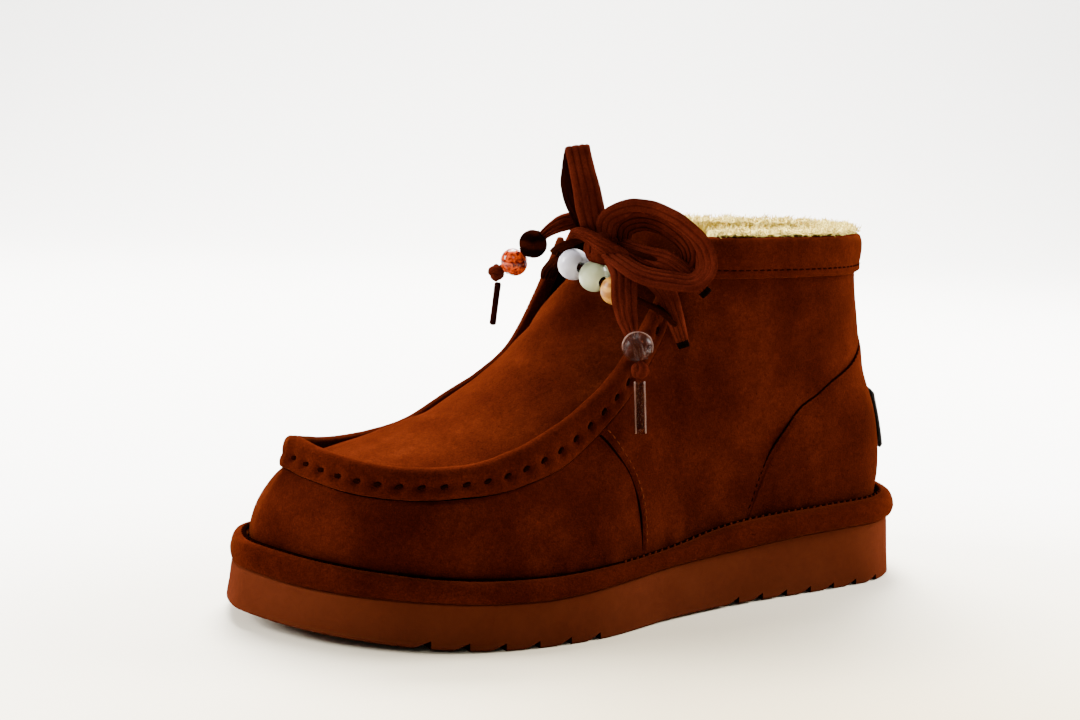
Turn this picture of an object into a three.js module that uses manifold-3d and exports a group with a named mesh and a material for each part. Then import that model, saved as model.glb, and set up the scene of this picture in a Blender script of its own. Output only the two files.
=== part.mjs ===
// Left mukluk ankle boot with a raised moc seam, a fleece collar and a beaded lace.
// Millimetres. X points from the heel to the toe, Y to the wearer's left, Z up. Floor at z = 0.
import * as THREE from 'three';
import { mergeVertices } from 'three/addons/utils/BufferGeometryUtils.js';
import Module from 'manifold-3d';

// Sizes
const sole_length = 262;
const sole_width = 117.8;
const heel_thickness = 23.4;
const toe_spring = 5.7;
const arch_rise = 0.9;
const sole_flare = 1.8;
const tread_depth = 2.6;
const tread_length = 5.6;
const tread_pitch = 11.6;
const band_height = 9;
const band_bulge = 2.6;
const band_lip = 3.4;
const upper_inset = 5.4;
const upper_wall = 2.6;
const seam_step = 1;
const collar_height = 131;
const rim_height = 11.5;
const rim_thickness = 4.4;
const rim_proud = 1.1;
const plug_thickness = 2.4;
const binding_height = 14;
const binding_thickness = 1.3;
const fleece_thickness = 6;
const fleece_rise = 4;
const fleece_depth = 34;
const insole_thickness = 4;
const label_width = 46;
const label_height = 23;
const label_thickness = 1.5;
const lip_clearance = 1;
const eyelet = 5;
const lace_width = 8;
const lace_end_width = 6.5;
const lace_thickness = 1.8;
const knot_size = 6.5;
const bead_size = 11;
const end_knot_size = 3.5;
const lace_in_bead = 3;
const bead_bore = 5.7;
const aglet_diameter = 4.2;
const gap = 0.35;

// Sole outline round the foot, as shares of the length and the width, toe tip first, outer side next
const outline = [
  [1.0, -0.05], [0.99, 0.02], [0.953, 0.16], [0.896, 0.29], [0.824, 0.40], [0.730, 0.475], [0.605, 0.49],
  [0.481, 0.43], [0.325, 0.385], [0.168, 0.370], [0.085, 0.348], [0.040, 0.284], [0.010, 0.161], [0, 0.02],
  [0.010, -0.122], [0.040, -0.236], [0.088, -0.310], [0.168, -0.340], [0.325, -0.320], [0.460, -0.340],
  [0.585, -0.410], [0.688, -0.468], [0.782, -0.475], [0.865, -0.432], [0.927, -0.36], [0.969, -0.265], [0.993, -0.15],
];

// Side view of the sole: station, thickness, spring, arch, band height, band bulge, upper inset
const side_rows = [
  [0, 1, 0, 0, 1, 1, 1],
  [0.086, 0.987, 0, 0, 1, 1, 1],
  [0.221, 0.957, 0, 0.1, 0.97, 1, 1],
  [0.336, 0.882, 0, 0.8, 1.02, 0.9, 1],
  [0.398, 0.855, 0, 1, 0.88, 0.8, 0.96],
  [0.46, 0.82, 0, 0.8, 0.66, 0.6, 0.9],
  [0.522, 0.775, 0, 0.3, 0.62, 0.5, 0.86],
  [0.585, 0.735, 0, 0, 0.68, 0.5, 0.86],
  [0.668, 0.665, 0, 0, 0.76, 0.5, 0.9],
  [0.772, 0.65, 0.08, 0, 0.77, 0.5, 0.94],
  [0.875, 0.618, 0.4, 0, 0.84, 0.45, 1.02],
  [0.948, 0.585, 0.72, 0, 0.97, 0.3, 1.06],
  [1, 0.605, 1, 0, 0.97, 0.3, 1.06],
];

// Upper, one row every few centimetres from the toe round to the heel:
// place along the sole edge, top point x, y, z, low bulge, low reach, high bulge, high reach
const outer_rows = [
  [0, 0.939, -0.055, 0.397, 1.5, 0.3, 5.5, 0.2],
  [0.066, 0.925, 0.073, 0.386, 1.5, 0.35, 5.5, 0.2],
  [0.13, 0.891, 0.212, 0.371, 2, 0.35, 5, 0.2],
  [0.19, 0.838, 0.323, 0.369, 2.5, 0.4, 5, 0.2],
  [0.25, 0.771, 0.382, 0.375, 2.5, 0.4, 4.5, 0.2],
  [0.3, 0.71, 0.39, 0.389, 2.5, 0.4, 4, 0.25],
  [0.355, 0.641, 0.376, 0.426, 2.5, 0.4, 4, 0.3],
  [0.4, 0.594, 0.357, 0.48, 2, 0.35, 3.5, 0.3],
  [0.435, 0.549, 0.34, 0.55, 2, 0.33, 3, 0.33],
  [0.47, 0.508, 0.314, 0.628, 2, 0.33, 2.5, 0.33],
  [0.505, 0.464, 0.289, 0.748, 1.5, 0.33, 2.5, 0.33],
  [0.535, 0.443, 0.282, 0.86, 1, 0.33, 2, 0.33],
  [0.565, 0.418, 0.292, 1, 0.5, 0.33, 1, 0.33],
  [0.615, 0.363, 0.319, 1, 0.5, 0.33, 0, 0.33],
  [0.68, 0.296, 0.326, 1, 0.5, 0.33, -0.5, 0.35],
  [0.755, 0.219, 0.318, 1, 1, 0.33, -1, 0.4],
  [0.825, 0.151, 0.278, 1, 2.2, 0.33, -1.5, 0.45],
  [0.89, 0.098, 0.194, 1, 3, 0.33, -1.8, 0.5],
  [0.95, 0.067, 0.093, 1, 3, 0.33, -1.9, 0.51],
  [1, 0.058, 0, 1, 3, 0.33, -1.9, 0.51],
];
const inner_rows = [
  [0, 0.939, -0.055, 0.397, 1.5, 0.3, 5.5, 0.2],
  [0.066, 0.922, -0.161, 0.378, 1.5, 0.35, 5.5, 0.2],
  [0.13, 0.878, -0.268, 0.356, 2, 0.35, 5, 0.2],
  [0.19, 0.832, -0.333, 0.344, 2.5, 0.4, 5, 0.2],
  [0.25, 0.765, -0.356, 0.346, 2.5, 0.4, 4.5, 0.2],
  [0.3, 0.703, -0.358, 0.362, 2.5, 0.4, 4, 0.25],
  [0.355, 0.643, -0.35, 0.414, 2.5, 0.4, 4, 0.3],
  [0.4, 0.597, -0.34, 0.473, 2, 0.35, 3.5, 0.3],
  [0.435, 0.558, -0.325, 0.548, 2, 0.33, 3, 0.33],
  [0.47, 0.533, -0.305, 0.628, 2, 0.33, 2.5, 0.33],
  [0.505, 0.508, -0.286, 0.748, 1.5, 0.33, 2.5, 0.33],
  [0.535, 0.485, -0.284, 0.86, 1, 0.33, 2, 0.33],
  [0.565, 0.448, -0.289, 1, 0.5, 0.33, 1, 0.33],
  [0.615, 0.367, -0.308, 1, 0.5, 0.33, 0, 0.33],
  [0.68, 0.296, -0.318, 1, 0.5, 0.33, -0.5, 0.35],
  [0.755, 0.219, -0.31, 1, 1, 0.33, -1, 0.4],
  [0.825, 0.151, -0.27, 1, 2.2, 0.33, -1.5, 0.45],
  [0.89, 0.098, -0.19, 1, 3, 0.33, -1.8, 0.5],
  [0.95, 0.067, -0.091, 1, 3, 0.33, -1.9, 0.51],
  [1, 0.058, 0, 1, 3, 0.33, -1.9, 0.51],
];

// Raised moc seam, one row per upper row: its top edge set forward, sideways and up from the upper's top point
const rim_rows = [
  [-0.26, 0.00, 1.00],
  [-0.18, -0.06, 1.00],
  [-0.10, -0.16, 0.99],
  [-0.06, -0.18, 0.92],
  [0.00, -0.16, 0.96],
  [0.02, -0.14, 1.10],
  [0.14, -0.12, 1.24],
  [0.10, -0.14, 1.20],
  [0.10, -0.16, 1.08],
  [0.18, -0.15, 0.98],
  [0.22, -0.16, 0.86],
  [0.24, -0.15, 0.62],
  [0.22, -0.13, 0.4],
];
const rim_last_row = 11.45;
const tuck_row = 10;

// Middle line of the moc plug and tongue: upper row of its edges, x, y, z, and how full its dome is
const plug_rows = [
  [0.6, 0.909, -0.05, 0.434, 1.9, 0.72],
  [1, 0.911, -0.045, 0.433, 1.9, 0.72],
  [2, 0.877, -0.034, 0.432, 1.9, 0.72],
  [3, 0.82, -0.034, 0.453, 1.9, 0.72],
  [4, 0.754, -0.034, 0.496, 1.9, 0.72],
  [5, 0.693, -0.034, 0.545, 1.85, 0.74],
  [6, 0.641, -0.034, 0.61, 1.8, 0.78],
  [7, 0.605, -0.034, 0.673, 1.7, 0.84],
  [8, 0.574, -0.034, 0.742, 1.6, 0.92],
  [9, 0.542, -0.034, 0.816, 1.55, 1],
  [10, 0.511, -0.026, 0.893, 1.5, 1],
  [11, 0.486, -0.017, 0.967, 1.5, 1],
  [12, 0.462, -0.01, 1.05, 1.5, 1],
];

// Seams on the upper: share of the wall's height, upper row
const vamp_seam = [[0, 9.75], [0.25, 9.45], [0.5, 8.85], [0.75, 8.05], [1, 7.4]];
const vamp_seam_row = 8.8;
// Counter seam: upper row, share of the wall's height
const counter_seam = [
  [12, 0.36], [12.8, 0.2], [13.6, 0.02], [13.8, 0.12], [14, 0.21], [14.35, 0.31], [14.65, 0.39], [15.05, 0.445],
  [15.45, 0.5], [16.2, 0.58], [17, 0.66], [18, 0.71], [19, 0.73],
];
const counter_seam_share = 0.36;

// Lace holes: upper row, share of the collar height
const eyelets = [[11.15, 0.80], [12.05, 0.92], [-11.15, 0.80], [-12.05, 0.92]];

// Laces: points of each strand as shares of the sole's length and width and the collar's height,
// then the middle of each bead, its size across and along as shares, and the strand it sits on
const strands = {
  lace_loop_up: [[0.5180, 0.1040, 0.9985], [0.5270, 0.1050, 1.0299], [0.5310, 0.1000, 1.0671], [0.5362, 0.0900, 1.1257],
    [0.5425, 0.0800, 1.1830], [0.5480, 0.0735, 1.2290], [0.5468, 0.0610, 1.2440], [0.5450, 0.0510, 1.2290],
    [0.5470, 0.0440, 1.1850], [0.5480, 0.0400, 1.1450], [0.5430, 0.0400, 1.1000], [0.5320, 0.0490, 1.0560],
    [0.5170, 0.0679, 1.0038]],
  lace_loop_side: [[0.5141, 0.1273, 0.9924], [0.5120, 0.1358, 1.0450], [0.4896, 0.1698, 1.0726], [0.4659, 0.2122, 1.0700],
    [0.4484, 0.2632, 1.0500], [0.4350, 0.3141, 1.0170], [0.4300, 0.3665, 0.9764], [0.4330, 0.3900, 0.9315],
    [0.4479, 0.3850, 0.9048], [0.4721, 0.3496, 0.9060], [0.5021, 0.2901, 0.9189], [0.5160, 0.2207, 0.9476],
    [0.5190, 0.1700, 0.9620]],
  lace_end_left: [[0.5153, 0.0764, 0.9924], [0.5279, 0.0424, 1.0366], [0.5485, 0.0297, 1.0382], [0.5710, 0.0212, 1.0183], [0.5859, 0.0153, 0.9954],
    [0.5962, 0.0085, 0.9756], [0.6034, -0.0170, 0.9489], [0.6122, -0.0424, 0.9221], [0.6226, -0.0545, 0.9070], [0.6320, -0.0665, 0.8930]],
  lace_end_front: [[0.5120, 0.1600, 0.9580], [0.5181, 0.2462, 0.9120], [0.5257, 0.2800, 0.8664], [0.5270, 0.3000, 0.8160], [0.5267, 0.3268, 0.7687],
    [0.5233, 0.3557, 0.7305], [0.5203, 0.3610, 0.6969]],
  lace_end_lower: [[0.5092, 0.1358, 0.9656], [0.4981, 0.2207, 0.9359], [0.4821, 0.2716, 0.9061], [0.4691, 0.3098, 0.8649], [0.4611, 0.3396, 0.7992],
    [0.4504, 0.3608, 0.7244]],
  lace_end_upper: [[0.5000, 0.1273, 0.9847], [0.4851, 0.2292, 0.9656], [0.4641, 0.3098, 0.9504], [0.4427, 0.3480, 0.9122], [0.4206, 0.3735, 0.8656]],
};
const crossing_strands = [
  [[0.5080, -0.2340, 0.8560], [0.5120, -0.2140, 0.8760], [0.5180, -0.1600, 0.9020], [0.5270, -0.0850, 0.9170],
    [0.5269, -0.0057, 0.9165], [0.5216, 0.0985, 0.8931], [0.5129, 0.1853, 0.8626], [0.4990, 0.2680, 0.8420],
    [0.4780, 0.3180, 0.8180], [0.4580, 0.3340, 0.7860]],
  [[0.4900, -0.2400, 0.9260], [0.5000, -0.2000, 0.9360], [0.5180, -0.1300, 0.9450], [0.5300, -0.0650, 0.9560],
    [0.5330, 0.0050, 0.9760], [0.5248, 0.0455, 0.9880], [0.5057, 0.1358, 0.9695], [0.4828, 0.2377, 0.9504],
    [0.4523, 0.3124, 0.9313]],
];
const knot = { at: [0.5115, 0.1019, 0.9733], size: [0.92, 1, 0.8] };
const beads = {
  bead_white: [[0.5269, -0.0057, 0.9165], 1.036, 0.945, 0],
  bead_pale: [[0.5216, 0.0985, 0.8931], 1.018, 0.945, 0],
  bead_tan: [[0.5129, 0.1853, 0.8626], 0.945, 0.873, 0],
  bead_dark: [[0.5962, 0.0085, 0.9756], 0.927, 0.855, 'lace_end_left'],
  bead_amber: [[0.6122, -0.0424, 0.9221], 0.927, 0.800, 'lace_end_left'],
  bead_clear: [[0.5233, 0.3557, 0.7305], 1.000, 0.873, 'lace_end_front'],
};
const end_knots = {
  end_knot_left: [[0.6330, -0.0683, 0.8916], 0.75],
  end_knot_front: [[0.5200, 0.3640, 0.6700], 0.84],
};
const aglets = {
  aglet_left: [[0.6294, -0.0688, 0.8656], [0.6353, -0.0713, 0.7472], 0.6],
  aglet_front: [[0.5219, 0.3684, 0.6427], [0.5215, 0.3860, 0.5037], 1],
};
const viewer = [0.48, 0.86, 0.15];

const wasm = await Module();
wasm.setup();

const V = (x, y, z) => new THREE.Vector3(x, y, z);

// Smooth curve through table rows at a fractional row, one value for each column
function row_at(rows, place) {
  const last = rows.length - 1;
  const at = Math.min(Math.max(place, 0), last);
  const i = Math.min(Math.floor(at), last - 1);
  const f = at - i;
  const a = rows[Math.max(i - 1, 0)];
  const b = rows[i];
  const c = rows[i + 1];
  const d = rows[Math.min(i + 2, last)];
  return b.map((value, k) => {
    const m0 = (c[k] - a[k]) / (i > 0 ? 2 : 1);
    const m1 = (d[k] - b[k]) / (i + 2 <= last ? 2 : 1);
    const rise = c[k] - value;
    return value + f * m0 + f * f * (3 * rise - 2 * m0 - m1) + f * f * f * (m0 + m1 - 2 * rise);
  });
}

// Same curve, looked up by the first column
function table_at(rows, key) {
  const last = rows.length - 1;
  if (key <= rows[0][0]) return rows[0];
  if (key >= rows[last][0]) return rows[last];
  let i = 0;
  while (rows[i + 1][0] < key) i += 1;
  const h = rows[i + 1][0] - rows[i][0];
  const f = (key - rows[i][0]) / h;
  return rows[i].map((value, k) => {
    const slope = (p, q) => (rows[q][k] - rows[p][k]) / (rows[q][0] - rows[p][0]);
    const m0 = i > 0 ? slope(i - 1, i + 1) : slope(i, i + 1);
    const m1 = i + 2 <= last ? slope(i, i + 2) : slope(i, i + 1);
    const rise = rows[i + 1][k] - value;
    return value + f * m0 * h + f * f * (3 * rise - (2 * m0 + m1) * h) + f * f * f * ((m0 + m1) * h - 2 * rise);
  });
}

const mix = (a, b, f) => a + (b - a) * f;
const smooth = (f) => {
  const c = Math.min(Math.max(f, 0), 1);
  return c * c * (3 - 2 * c);
};

// Closed edge of the sole as points with their outward directions, evenly spaced on each side of the foot
const edge_curve = new THREE.CatmullRomCurve3(
  outline.map(([x, y]) => V(x * sole_length, y * sole_width, 0)), true, 'centripetal');
edge_curve.arcLengthDivisions = 1200;
const heel_share = (() => {
  let best = 0.5;
  for (let k = 0; k <= 400; k += 1) {
    const u = 0.35 + 0.3 * k / 400;
    if (edge_curve.getPointAt(u).x < edge_curve.getPointAt(best).x) best = u;
  }
  return best;
})();
// Place runs 0 at the toe tip, 1 at the heel on the outer side; the inner side is negative
function edge_at(place) {
  const u = place >= 0 ? place * heel_share : 1 + place * (1 - heel_share);
  const at = edge_curve.getPointAt((u + 1) % 1);
  const along = edge_curve.getTangentAt((u + 1) % 1);
  return { at, out: V(along.y, -along.x, 0).normalize() };
}

const side_at = (x) => table_at(side_rows, x / sole_length);
const ground_z = (x) => {
  const row = side_at(x);
  return Math.max(row[2], 0) * toe_spring + Math.max(row[3], 0) * arch_rise;
};
const outsole_top = (x) => side_at(x)[1] * heel_thickness + side_at(x)[2] * toe_spring;
const band_top = (x) => outsole_top(x) + gap + side_at(x)[4] * band_height;
const tray_z = (x) => band_top(x) - band_lip;
const inset_at = (x) => side_at(x)[6] * upper_inset;

// Outer face of the upper: side is 1 for the outer side and -1 for the inner side
function wall_point(side, row, share) {
  const r = row_at(side > 0 ? outer_rows : inner_rows, row);
  const { at, out } = edge_at(side * Math.min(r[0], 0.99999));
  const base = at.clone().addScaledVector(out, -inset_at(at.x));
  base.z = tray_z(at.x) + gap;
  const top = V(r[1] * sole_length, r[2] * sole_width, Math.min(r[3], 1) * collar_height);
  const rise = top.z - base.z;
  const low = base.clone().addScaledVector(out, r[4]);
  low.z += rise * r[5];
  const high = top.clone().addScaledVector(out, r[6]);
  high.z -= rise * r[7];
  const s = share;
  const q = 1 - s;
  return base.multiplyScalar(q * q * q)
    .addScaledVector(low, 3 * q * q * s)
    .addScaledVector(high, 3 * q * s * s)
    .addScaledVector(top, s * s * s);
}

// The upper as one loop of columns: toe, outer side, heel, inner side
const upper_last = outer_rows.length - 1;
function loop_point(place, share) {
  const side = place >= 0 ? 1 : -1;
  return wall_point(side, Math.abs(place), share);
}
function wall_normal(place, share) {
  const e = 0.02;
  const p0 = place > upper_last - e ? place - 2 * e : place;
  const p1 = p0 + e;
  const s0 = Math.min(share, 1 - e);
  const across = loop_point(p1, share).sub(loop_point(p0 - e, share));
  const up = loop_point(place, s0 + e).sub(loop_point(place, s0));
  const n = across.cross(up).normalize();
  return n;
}

// Point on the upper at a height, set out from it level
function at_height(place, z, depth) {
  let lo = 0;
  let hi = 1;
  for (let k = 0; k < 24; k += 1) {
    const mid = (lo + hi) / 2;
    if (loop_point(place, mid).z < z) lo = mid;
    else hi = mid;
  }
  const n = wall_normal(place, lo);
  const p = loop_point(place, lo).addScaledVector(V(n.x, n.y, 0).normalize(), depth);
  p.z = z;
  return p;
}

// Closed body from rings of points; each ring is a list, the body closes from the last ring to the first
function skin(rings, closed, folded = false) {
  const count = rings[0].length;
  const position = [];
  const index = [];
  rings.forEach((ring) => ring.forEach((p) => position.push(p.x, p.y, p.z)));
  const spans = closed ? rings.length : rings.length - 1;
  for (let i = 0; i < spans; i += 1) {
    const a = i * count;
    const b = ((i + 1) % rings.length) * count;
    for (let j = 0; j < count; j += 1) {
      const k = (j + 1) % count;
      index.push(a + j, b + j, b + k, a + j, b + k, a + k);
    }
  }
  if (!closed) {
    [[0, 1], [rings.length - 1, -1]].forEach(([ring, turn]) => {
      const o = ring * count;
      const faces = folded ? folded_faces(count)
        : THREE.ShapeUtils.triangulateShape(flat_section(rings[ring]), []);
      faces.forEach(([p, q, r]) => {
        const face = turn > 0 ? [o + p, o + q, o + r] : [o + r, o + q, o + p];
        index.push(...face);
      });
    });
  }
  const geometry = new THREE.BufferGeometry();
  geometry.setAttribute('position', new THREE.Float32BufferAttribute(position, 3));
  geometry.setIndex(index);
  return outward(geometry);
}

// Faces of an end whose ring runs there and back along a thin sheet
function folded_faces(count) {
  const faces = [];
  for (let j = 0; j + 1 < count / 2; j += 1) {
    const k = count - 1 - j;
    faces.push([j, j + 1, k]);
    faces.push([j + 1, k - 1, k]);
  }
  return faces.filter((f) => new Set(f).size === 3);
}

// An end section laid flat, so that it can be cut into triangles
function flat_section(ring) {
  const centre = ring.reduce((sum, p) => sum.add(p), V(0, 0, 0)).multiplyScalar(1 / ring.length);
  const normal = V(0, 0, 0);
  ring.forEach((p, i) => {
    const q = ring[(i + 1) % ring.length];
    normal.add(p.clone().sub(centre).cross(q.clone().sub(centre)));
  });
  normal.normalize();
  const u = ring[1].clone().sub(ring[0]);
  u.addScaledVector(normal, -u.dot(normal)).normalize();
  const v = normal.clone().cross(u);
  return ring.map((p) => new THREE.Vector2(p.clone().sub(centre).dot(u), p.clone().sub(centre).dot(v)));
}

function volume_of(geometry) {
  const p = geometry.getAttribute('position');
  const index = geometry.getIndex();
  let sum = 0;
  const a = V(0, 0, 0);
  const b = V(0, 0, 0);
  const c = V(0, 0, 0);
  for (let i = 0; i < index.count; i += 3) {
    a.fromBufferAttribute(p, index.getX(i));
    b.fromBufferAttribute(p, index.getX(i + 1));
    c.fromBufferAttribute(p, index.getX(i + 2));
    sum += a.dot(b.cross(c)) / 6;
  }
  return sum;
}

function outward(geometry) {
  if (volume_of(geometry) < 0) {
    const index = Array.from(geometry.getIndex().array);
    for (let i = 0; i < index.length; i += 3) [index[i], index[i + 1]] = [index[i + 1], index[i]];
    geometry.setIndex(index);
  }
  return geometry;
}

function solid_of(geometry) {
  const plain = geometry.clone();
  plain.deleteAttribute('normal');
  plain.deleteAttribute('uv');
  const merged = mergeVertices(plain, 1e-4);
  return new wasm.Manifold(new wasm.Mesh({
    numProp: 3,
    vertProperties: new Float32Array(merged.getAttribute('position').array),
    triVerts: new Uint32Array(merged.getIndex().array),
  }));
}

function geometry_of(solid) {
  const mesh = solid.getMesh();
  const geometry = new THREE.BufferGeometry();
  const position = new Float32Array(mesh.numVert * 3);
  for (let i = 0; i < mesh.numVert; i += 1) {
    for (let k = 0; k < 3; k += 1) position[i * 3 + k] = mesh.vertProperties[i * mesh.numProp + k];
  }
  geometry.setAttribute('position', new THREE.BufferAttribute(position, 3));
  geometry.setIndex(Array.from(mesh.triVerts));
  return geometry;
}

const boot = new THREE.Group();
boot.name = 'mukluk_boot';
function add(name, geometry, colour, roughness, metalness = 0) {
  if (!geometry.getAttribute('normal')) geometry.computeVertexNormals();
  const mesh = new THREE.Mesh(geometry, new THREE.MeshStandardMaterial({ color: colour, roughness, metalness }));
  mesh.name = name;
  boot.add(mesh);
  return mesh;
}
const suede = 0x7a3408;
const suede_dark = 0x6a2c08;

// Slab between two closed edges: matching points of the outer and inner side are joined across the foot
function slab(rings) {
  const count = rings[0].length;
  const position = [];
  const index = [];
  rings.forEach((ring) => ring.forEach((p) => position.push(p.x, p.y, p.z)));
  for (let i = 0; i + 1 < rings.length; i += 1) {
    for (let j = 0; j < count; j += 1) {
      const k = (j + 1) % count;
      const a = i * count;
      const b = a + count;
      index.push(a + j, a + k, b + k, a + j, b + k, b + j);
    }
  }
  const cap = (start, flip) => {
    const half = count / 2;
    for (let j = 0; j < half; j += 1) {
      const a = start + j;
      const b = start + j + 1;
      const c = start + ((count - j) % count);
      const d = start + (count - j - 1);
      if (j > 0) index.push(...(flip ? [a, c, b] : [a, b, c]));
      if (j + 1 < half) index.push(...(flip ? [b, c, d] : [b, d, c]));
    }
  };
  cap(0, true);
  cap((rings.length - 1) * count, false);
  const geometry = new THREE.BufferGeometry();
  geometry.setAttribute('position', new THREE.Float32BufferAttribute(position, 3));
  geometry.setIndex(index);
  return outward(geometry);
}
const edge_count = 72;
const edge_places = Array.from({ length: edge_count }, (_, i) => {
  const half = edge_count / 2;
  return i <= half ? i / half : -(edge_count - i) / half;
});
function edge_ring(shift, height) {
  return edge_places.map((place) => {
    const { at, out } = edge_at(place === 1 ? 0.99999 : place);
    const p = at.clone().addScaledVector(out, shift(at.x));
    p.z = height(at.x);
    return p;
  });
}

// Outsole with its saw-tooth tread
{
  const body = solid_of(slab([
    edge_ring(() => sole_flare, ground_z),
    edge_ring(() => sole_flare * 0.9, (x) => ground_z(x) + heel_thickness * 0.1),
    edge_ring(() => 0, outsole_top),
  ]));
  const tooth = new THREE.Shape([
    new THREE.Vector2(0, -4), new THREE.Vector2(0, tread_depth), new THREE.Vector2(tread_length, 0),
    new THREE.Vector2(tread_length, -4),
  ]);
  const places = [];
  for (let k = 0; k < 7; k += 1) places.push(0.085 * sole_length + k * tread_pitch);
  for (let k = 0; k < 6; k += 1) places.push(0.605 * sole_length + k * tread_pitch);
  let cut = null;
  places.forEach((x) => {
    const groove = new THREE.ExtrudeGeometry(tooth, { depth: sole_width * 2, bevelEnabled: false, steps: 1 });
    groove.rotateX(Math.PI / 2);
    groove.translate(x, sole_width, ground_z(x + tread_length / 2));
    const solid = solid_of(groove);
    cut = cut ? cut.add(solid) : solid;
  });
  add('outsole', geometry_of(body.subtract(cut)), 0x9a4a14, 0.55);
}

// Suede wrapped band: a rolled edge round a tray that the upper stands in
{
  const bulge = (x) => side_at(x)[5] * band_bulge;
  const tall = (x) => side_at(x)[4] * band_height;
  const rim = (x) => -inset_at(x) + lip_clearance;
  const level = (share) => (x) => outsole_top(x) + gap + tall(x) * share;
  add('wrap_band', slab([
    edge_ring(() => -1.2, level(0)),
    edge_ring((x) => 0.3 + bulge(x) * 0.3, level(0.06)),
    edge_ring((x) => 0.2 + bulge(x) * 0.85, level(0.3)),
    edge_ring((x) => bulge(x), level(0.55)),
    edge_ring((x) => bulge(x) * 0.55, level(0.8)),
    edge_ring((x) => mix(rim(x), 0, 0.7), level(0.96)),
    edge_ring((x) => mix(rim(x), 0, 0.35), level(1)),
    edge_ring(rim, (x) => band_top(x) - band_lip * 0.12),
    edge_ring(rim, tray_z),
  ]), suede, 0.9);
}

// Upper wall: columns in pairs at the vamp seam and rows in pairs at the counter seam
const seam_half = 0.06;
const place_list = (() => {
  const one = [0, 0.4, 0.8, 1.2, 1.6, 2.1, 2.6, 3.2, 3.8, 4.4, 5, 5.6, 6.2, 6.8, 7.4, 8, 8.4,
    vamp_seam_row - seam_half, vamp_seam_row + seam_half, 9.2, 9.6, 10, 10.5, 11, 11.5, 12, 12.4, 12.9, 13.4,
    13.6, 13.8, 14.1, 14.5, 15, 15.5, 16, 16.5, 17, 17.5, 18, 18.5];
  const back = one.slice(1).reverse().map((v) => -v);
  return [...one, upper_last, ...back];
})();
const share_list = [0, 0.12, 0.24, counter_seam_share - 0.015, counter_seam_share + 0.015,
  0.47, 0.59, 0.72, 0.86, 1];
function seam_shift(place, share) {
  const side = place >= 0 ? 1 : -1;
  const row = Math.abs(place);
  const reach = Math.max(0, 1 - Math.abs(row - vamp_seam_row) / 3);
  return side * (row + reach * (table_at(vamp_seam, share)[1] - vamp_seam_row));
}
function counter_shift(row, share) {
  const middle = row < counter_seam[0][0] ? counter_seam_share : table_at(counter_seam, row)[1];
  const k = counter_seam_share;
  return share < k ? share * middle / k : middle + (share - k) * (1 - middle) / (1 - k);
}
function wall_grid(place, share) {
  const row = Math.abs(place);
  const real_share = counter_shift(row, share);
  const real_place = seam_shift(place, real_share);
  const quarter = smooth((row - vamp_seam_row) / (2 * seam_half) + 0.5);
  const counter = smooth((row - 13.55) / 0.1) * (share < counter_seam_share ? 1 : 0);
  const proud = quarter * seam_step + counter * seam_step * 0.8;
  return { place: real_place, share: real_share, proud: proud - quarter * seam_step * 0.5 };
}
function upper_point(place, share, depth) {
  const g = wall_grid(place, share);
  const normal = wall_normal(g.place, g.share);
  const flat = V(normal.x, normal.y, 0).normalize();
  const lean = smooth(g.share * 6);
  normal.lerp(flat, 1 - lean).normalize();
  const proud = g.proud * smooth(g.share * 8);
  return loop_point(g.place, g.share).addScaledVector(normal, proud * (depth > 0 ? 0 : 1) - depth);
}
{
  const rings = place_list.map((place) => [
    ...share_list.map((share) => upper_point(place, share, 0)),
    ...share_list.slice().reverse().map((share) => upper_point(place, share, upper_wall)),
  ]);
  const punch = (hole) => {
    const at = at_height(hole[0], hole[1] * collar_height, 0);
    const n = at_height(hole[0], hole[1] * collar_height, 10).sub(at).normalize();
    const pin = new THREE.CylinderGeometry(eyelet / 2, eyelet / 2, upper_wall * 6, 10);
    pin.applyQuaternion(new THREE.Quaternion().setFromUnitVectors(V(0, 1, 0), n));
    pin.translate(at.x, at.y, at.z);
    return solid_of(pin);
  };
  const wall = eyelets.reduce((solid, hole) => solid.subtract(punch(hole)), solid_of(skin(rings, true)));
  add('upper', geometry_of(wall), suede, 0.9);
}

// Moc seam rim
function rim_frame(place) {
  const side = place >= 0 ? 1 : -1;
  const row = Math.abs(place);
  const r = row_at(rim_rows, Math.min(row, rim_last_row));
  const low = loop_point(place, 1);
  const normal = wall_normal(place, 1);
  const out = V(normal.x, normal.y, normal.z * 0.3).normalize();
  const top = low.clone().add(V(r[0] * rim_height, side * r[1] * rim_height, r[2] * rim_height));
  return { low, top, out };
}
function rim_section(place) {
  const { low, top, out } = rim_frame(place);
  const axis = top.clone().sub(low);
  const long = axis.length();
  axis.normalize();
  const at = (up, o) => low.clone().addScaledVector(axis, up).addScaledVector(out, o);
  const o = rim_proud;
  const i = rim_proud - rim_thickness;
  return [
    at(1.7 * gap, i * 0.9), at(1.7 * gap, o * 0.7), at(long * 0.16, o), at(long * 0.8, o), at(long * 0.95, o * 0.4),
    at(long, (o + i) / 2 + 0.6), at(long * 0.97, i * 0.6), at(long * 0.84, i), at(long * 0.3, i),
  ];
}
{
  const places = [rim_last_row, 11.2, 10.8, 10.4, 10, 9.7, 9.3, 8.8, 8.2, 7.6, 7, 6.4, 5.8, 5.2, 4.6, 4, 3.5, 3, 2.5, 2, 1.6, 1.2, 0.8, 0.4];
  const rings = [...places, 0, ...places.slice().reverse().map((v) => -v)].map(rim_section);
  add('moc_rim', skin(rings, false), suede_dark, 0.9);
}

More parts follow.
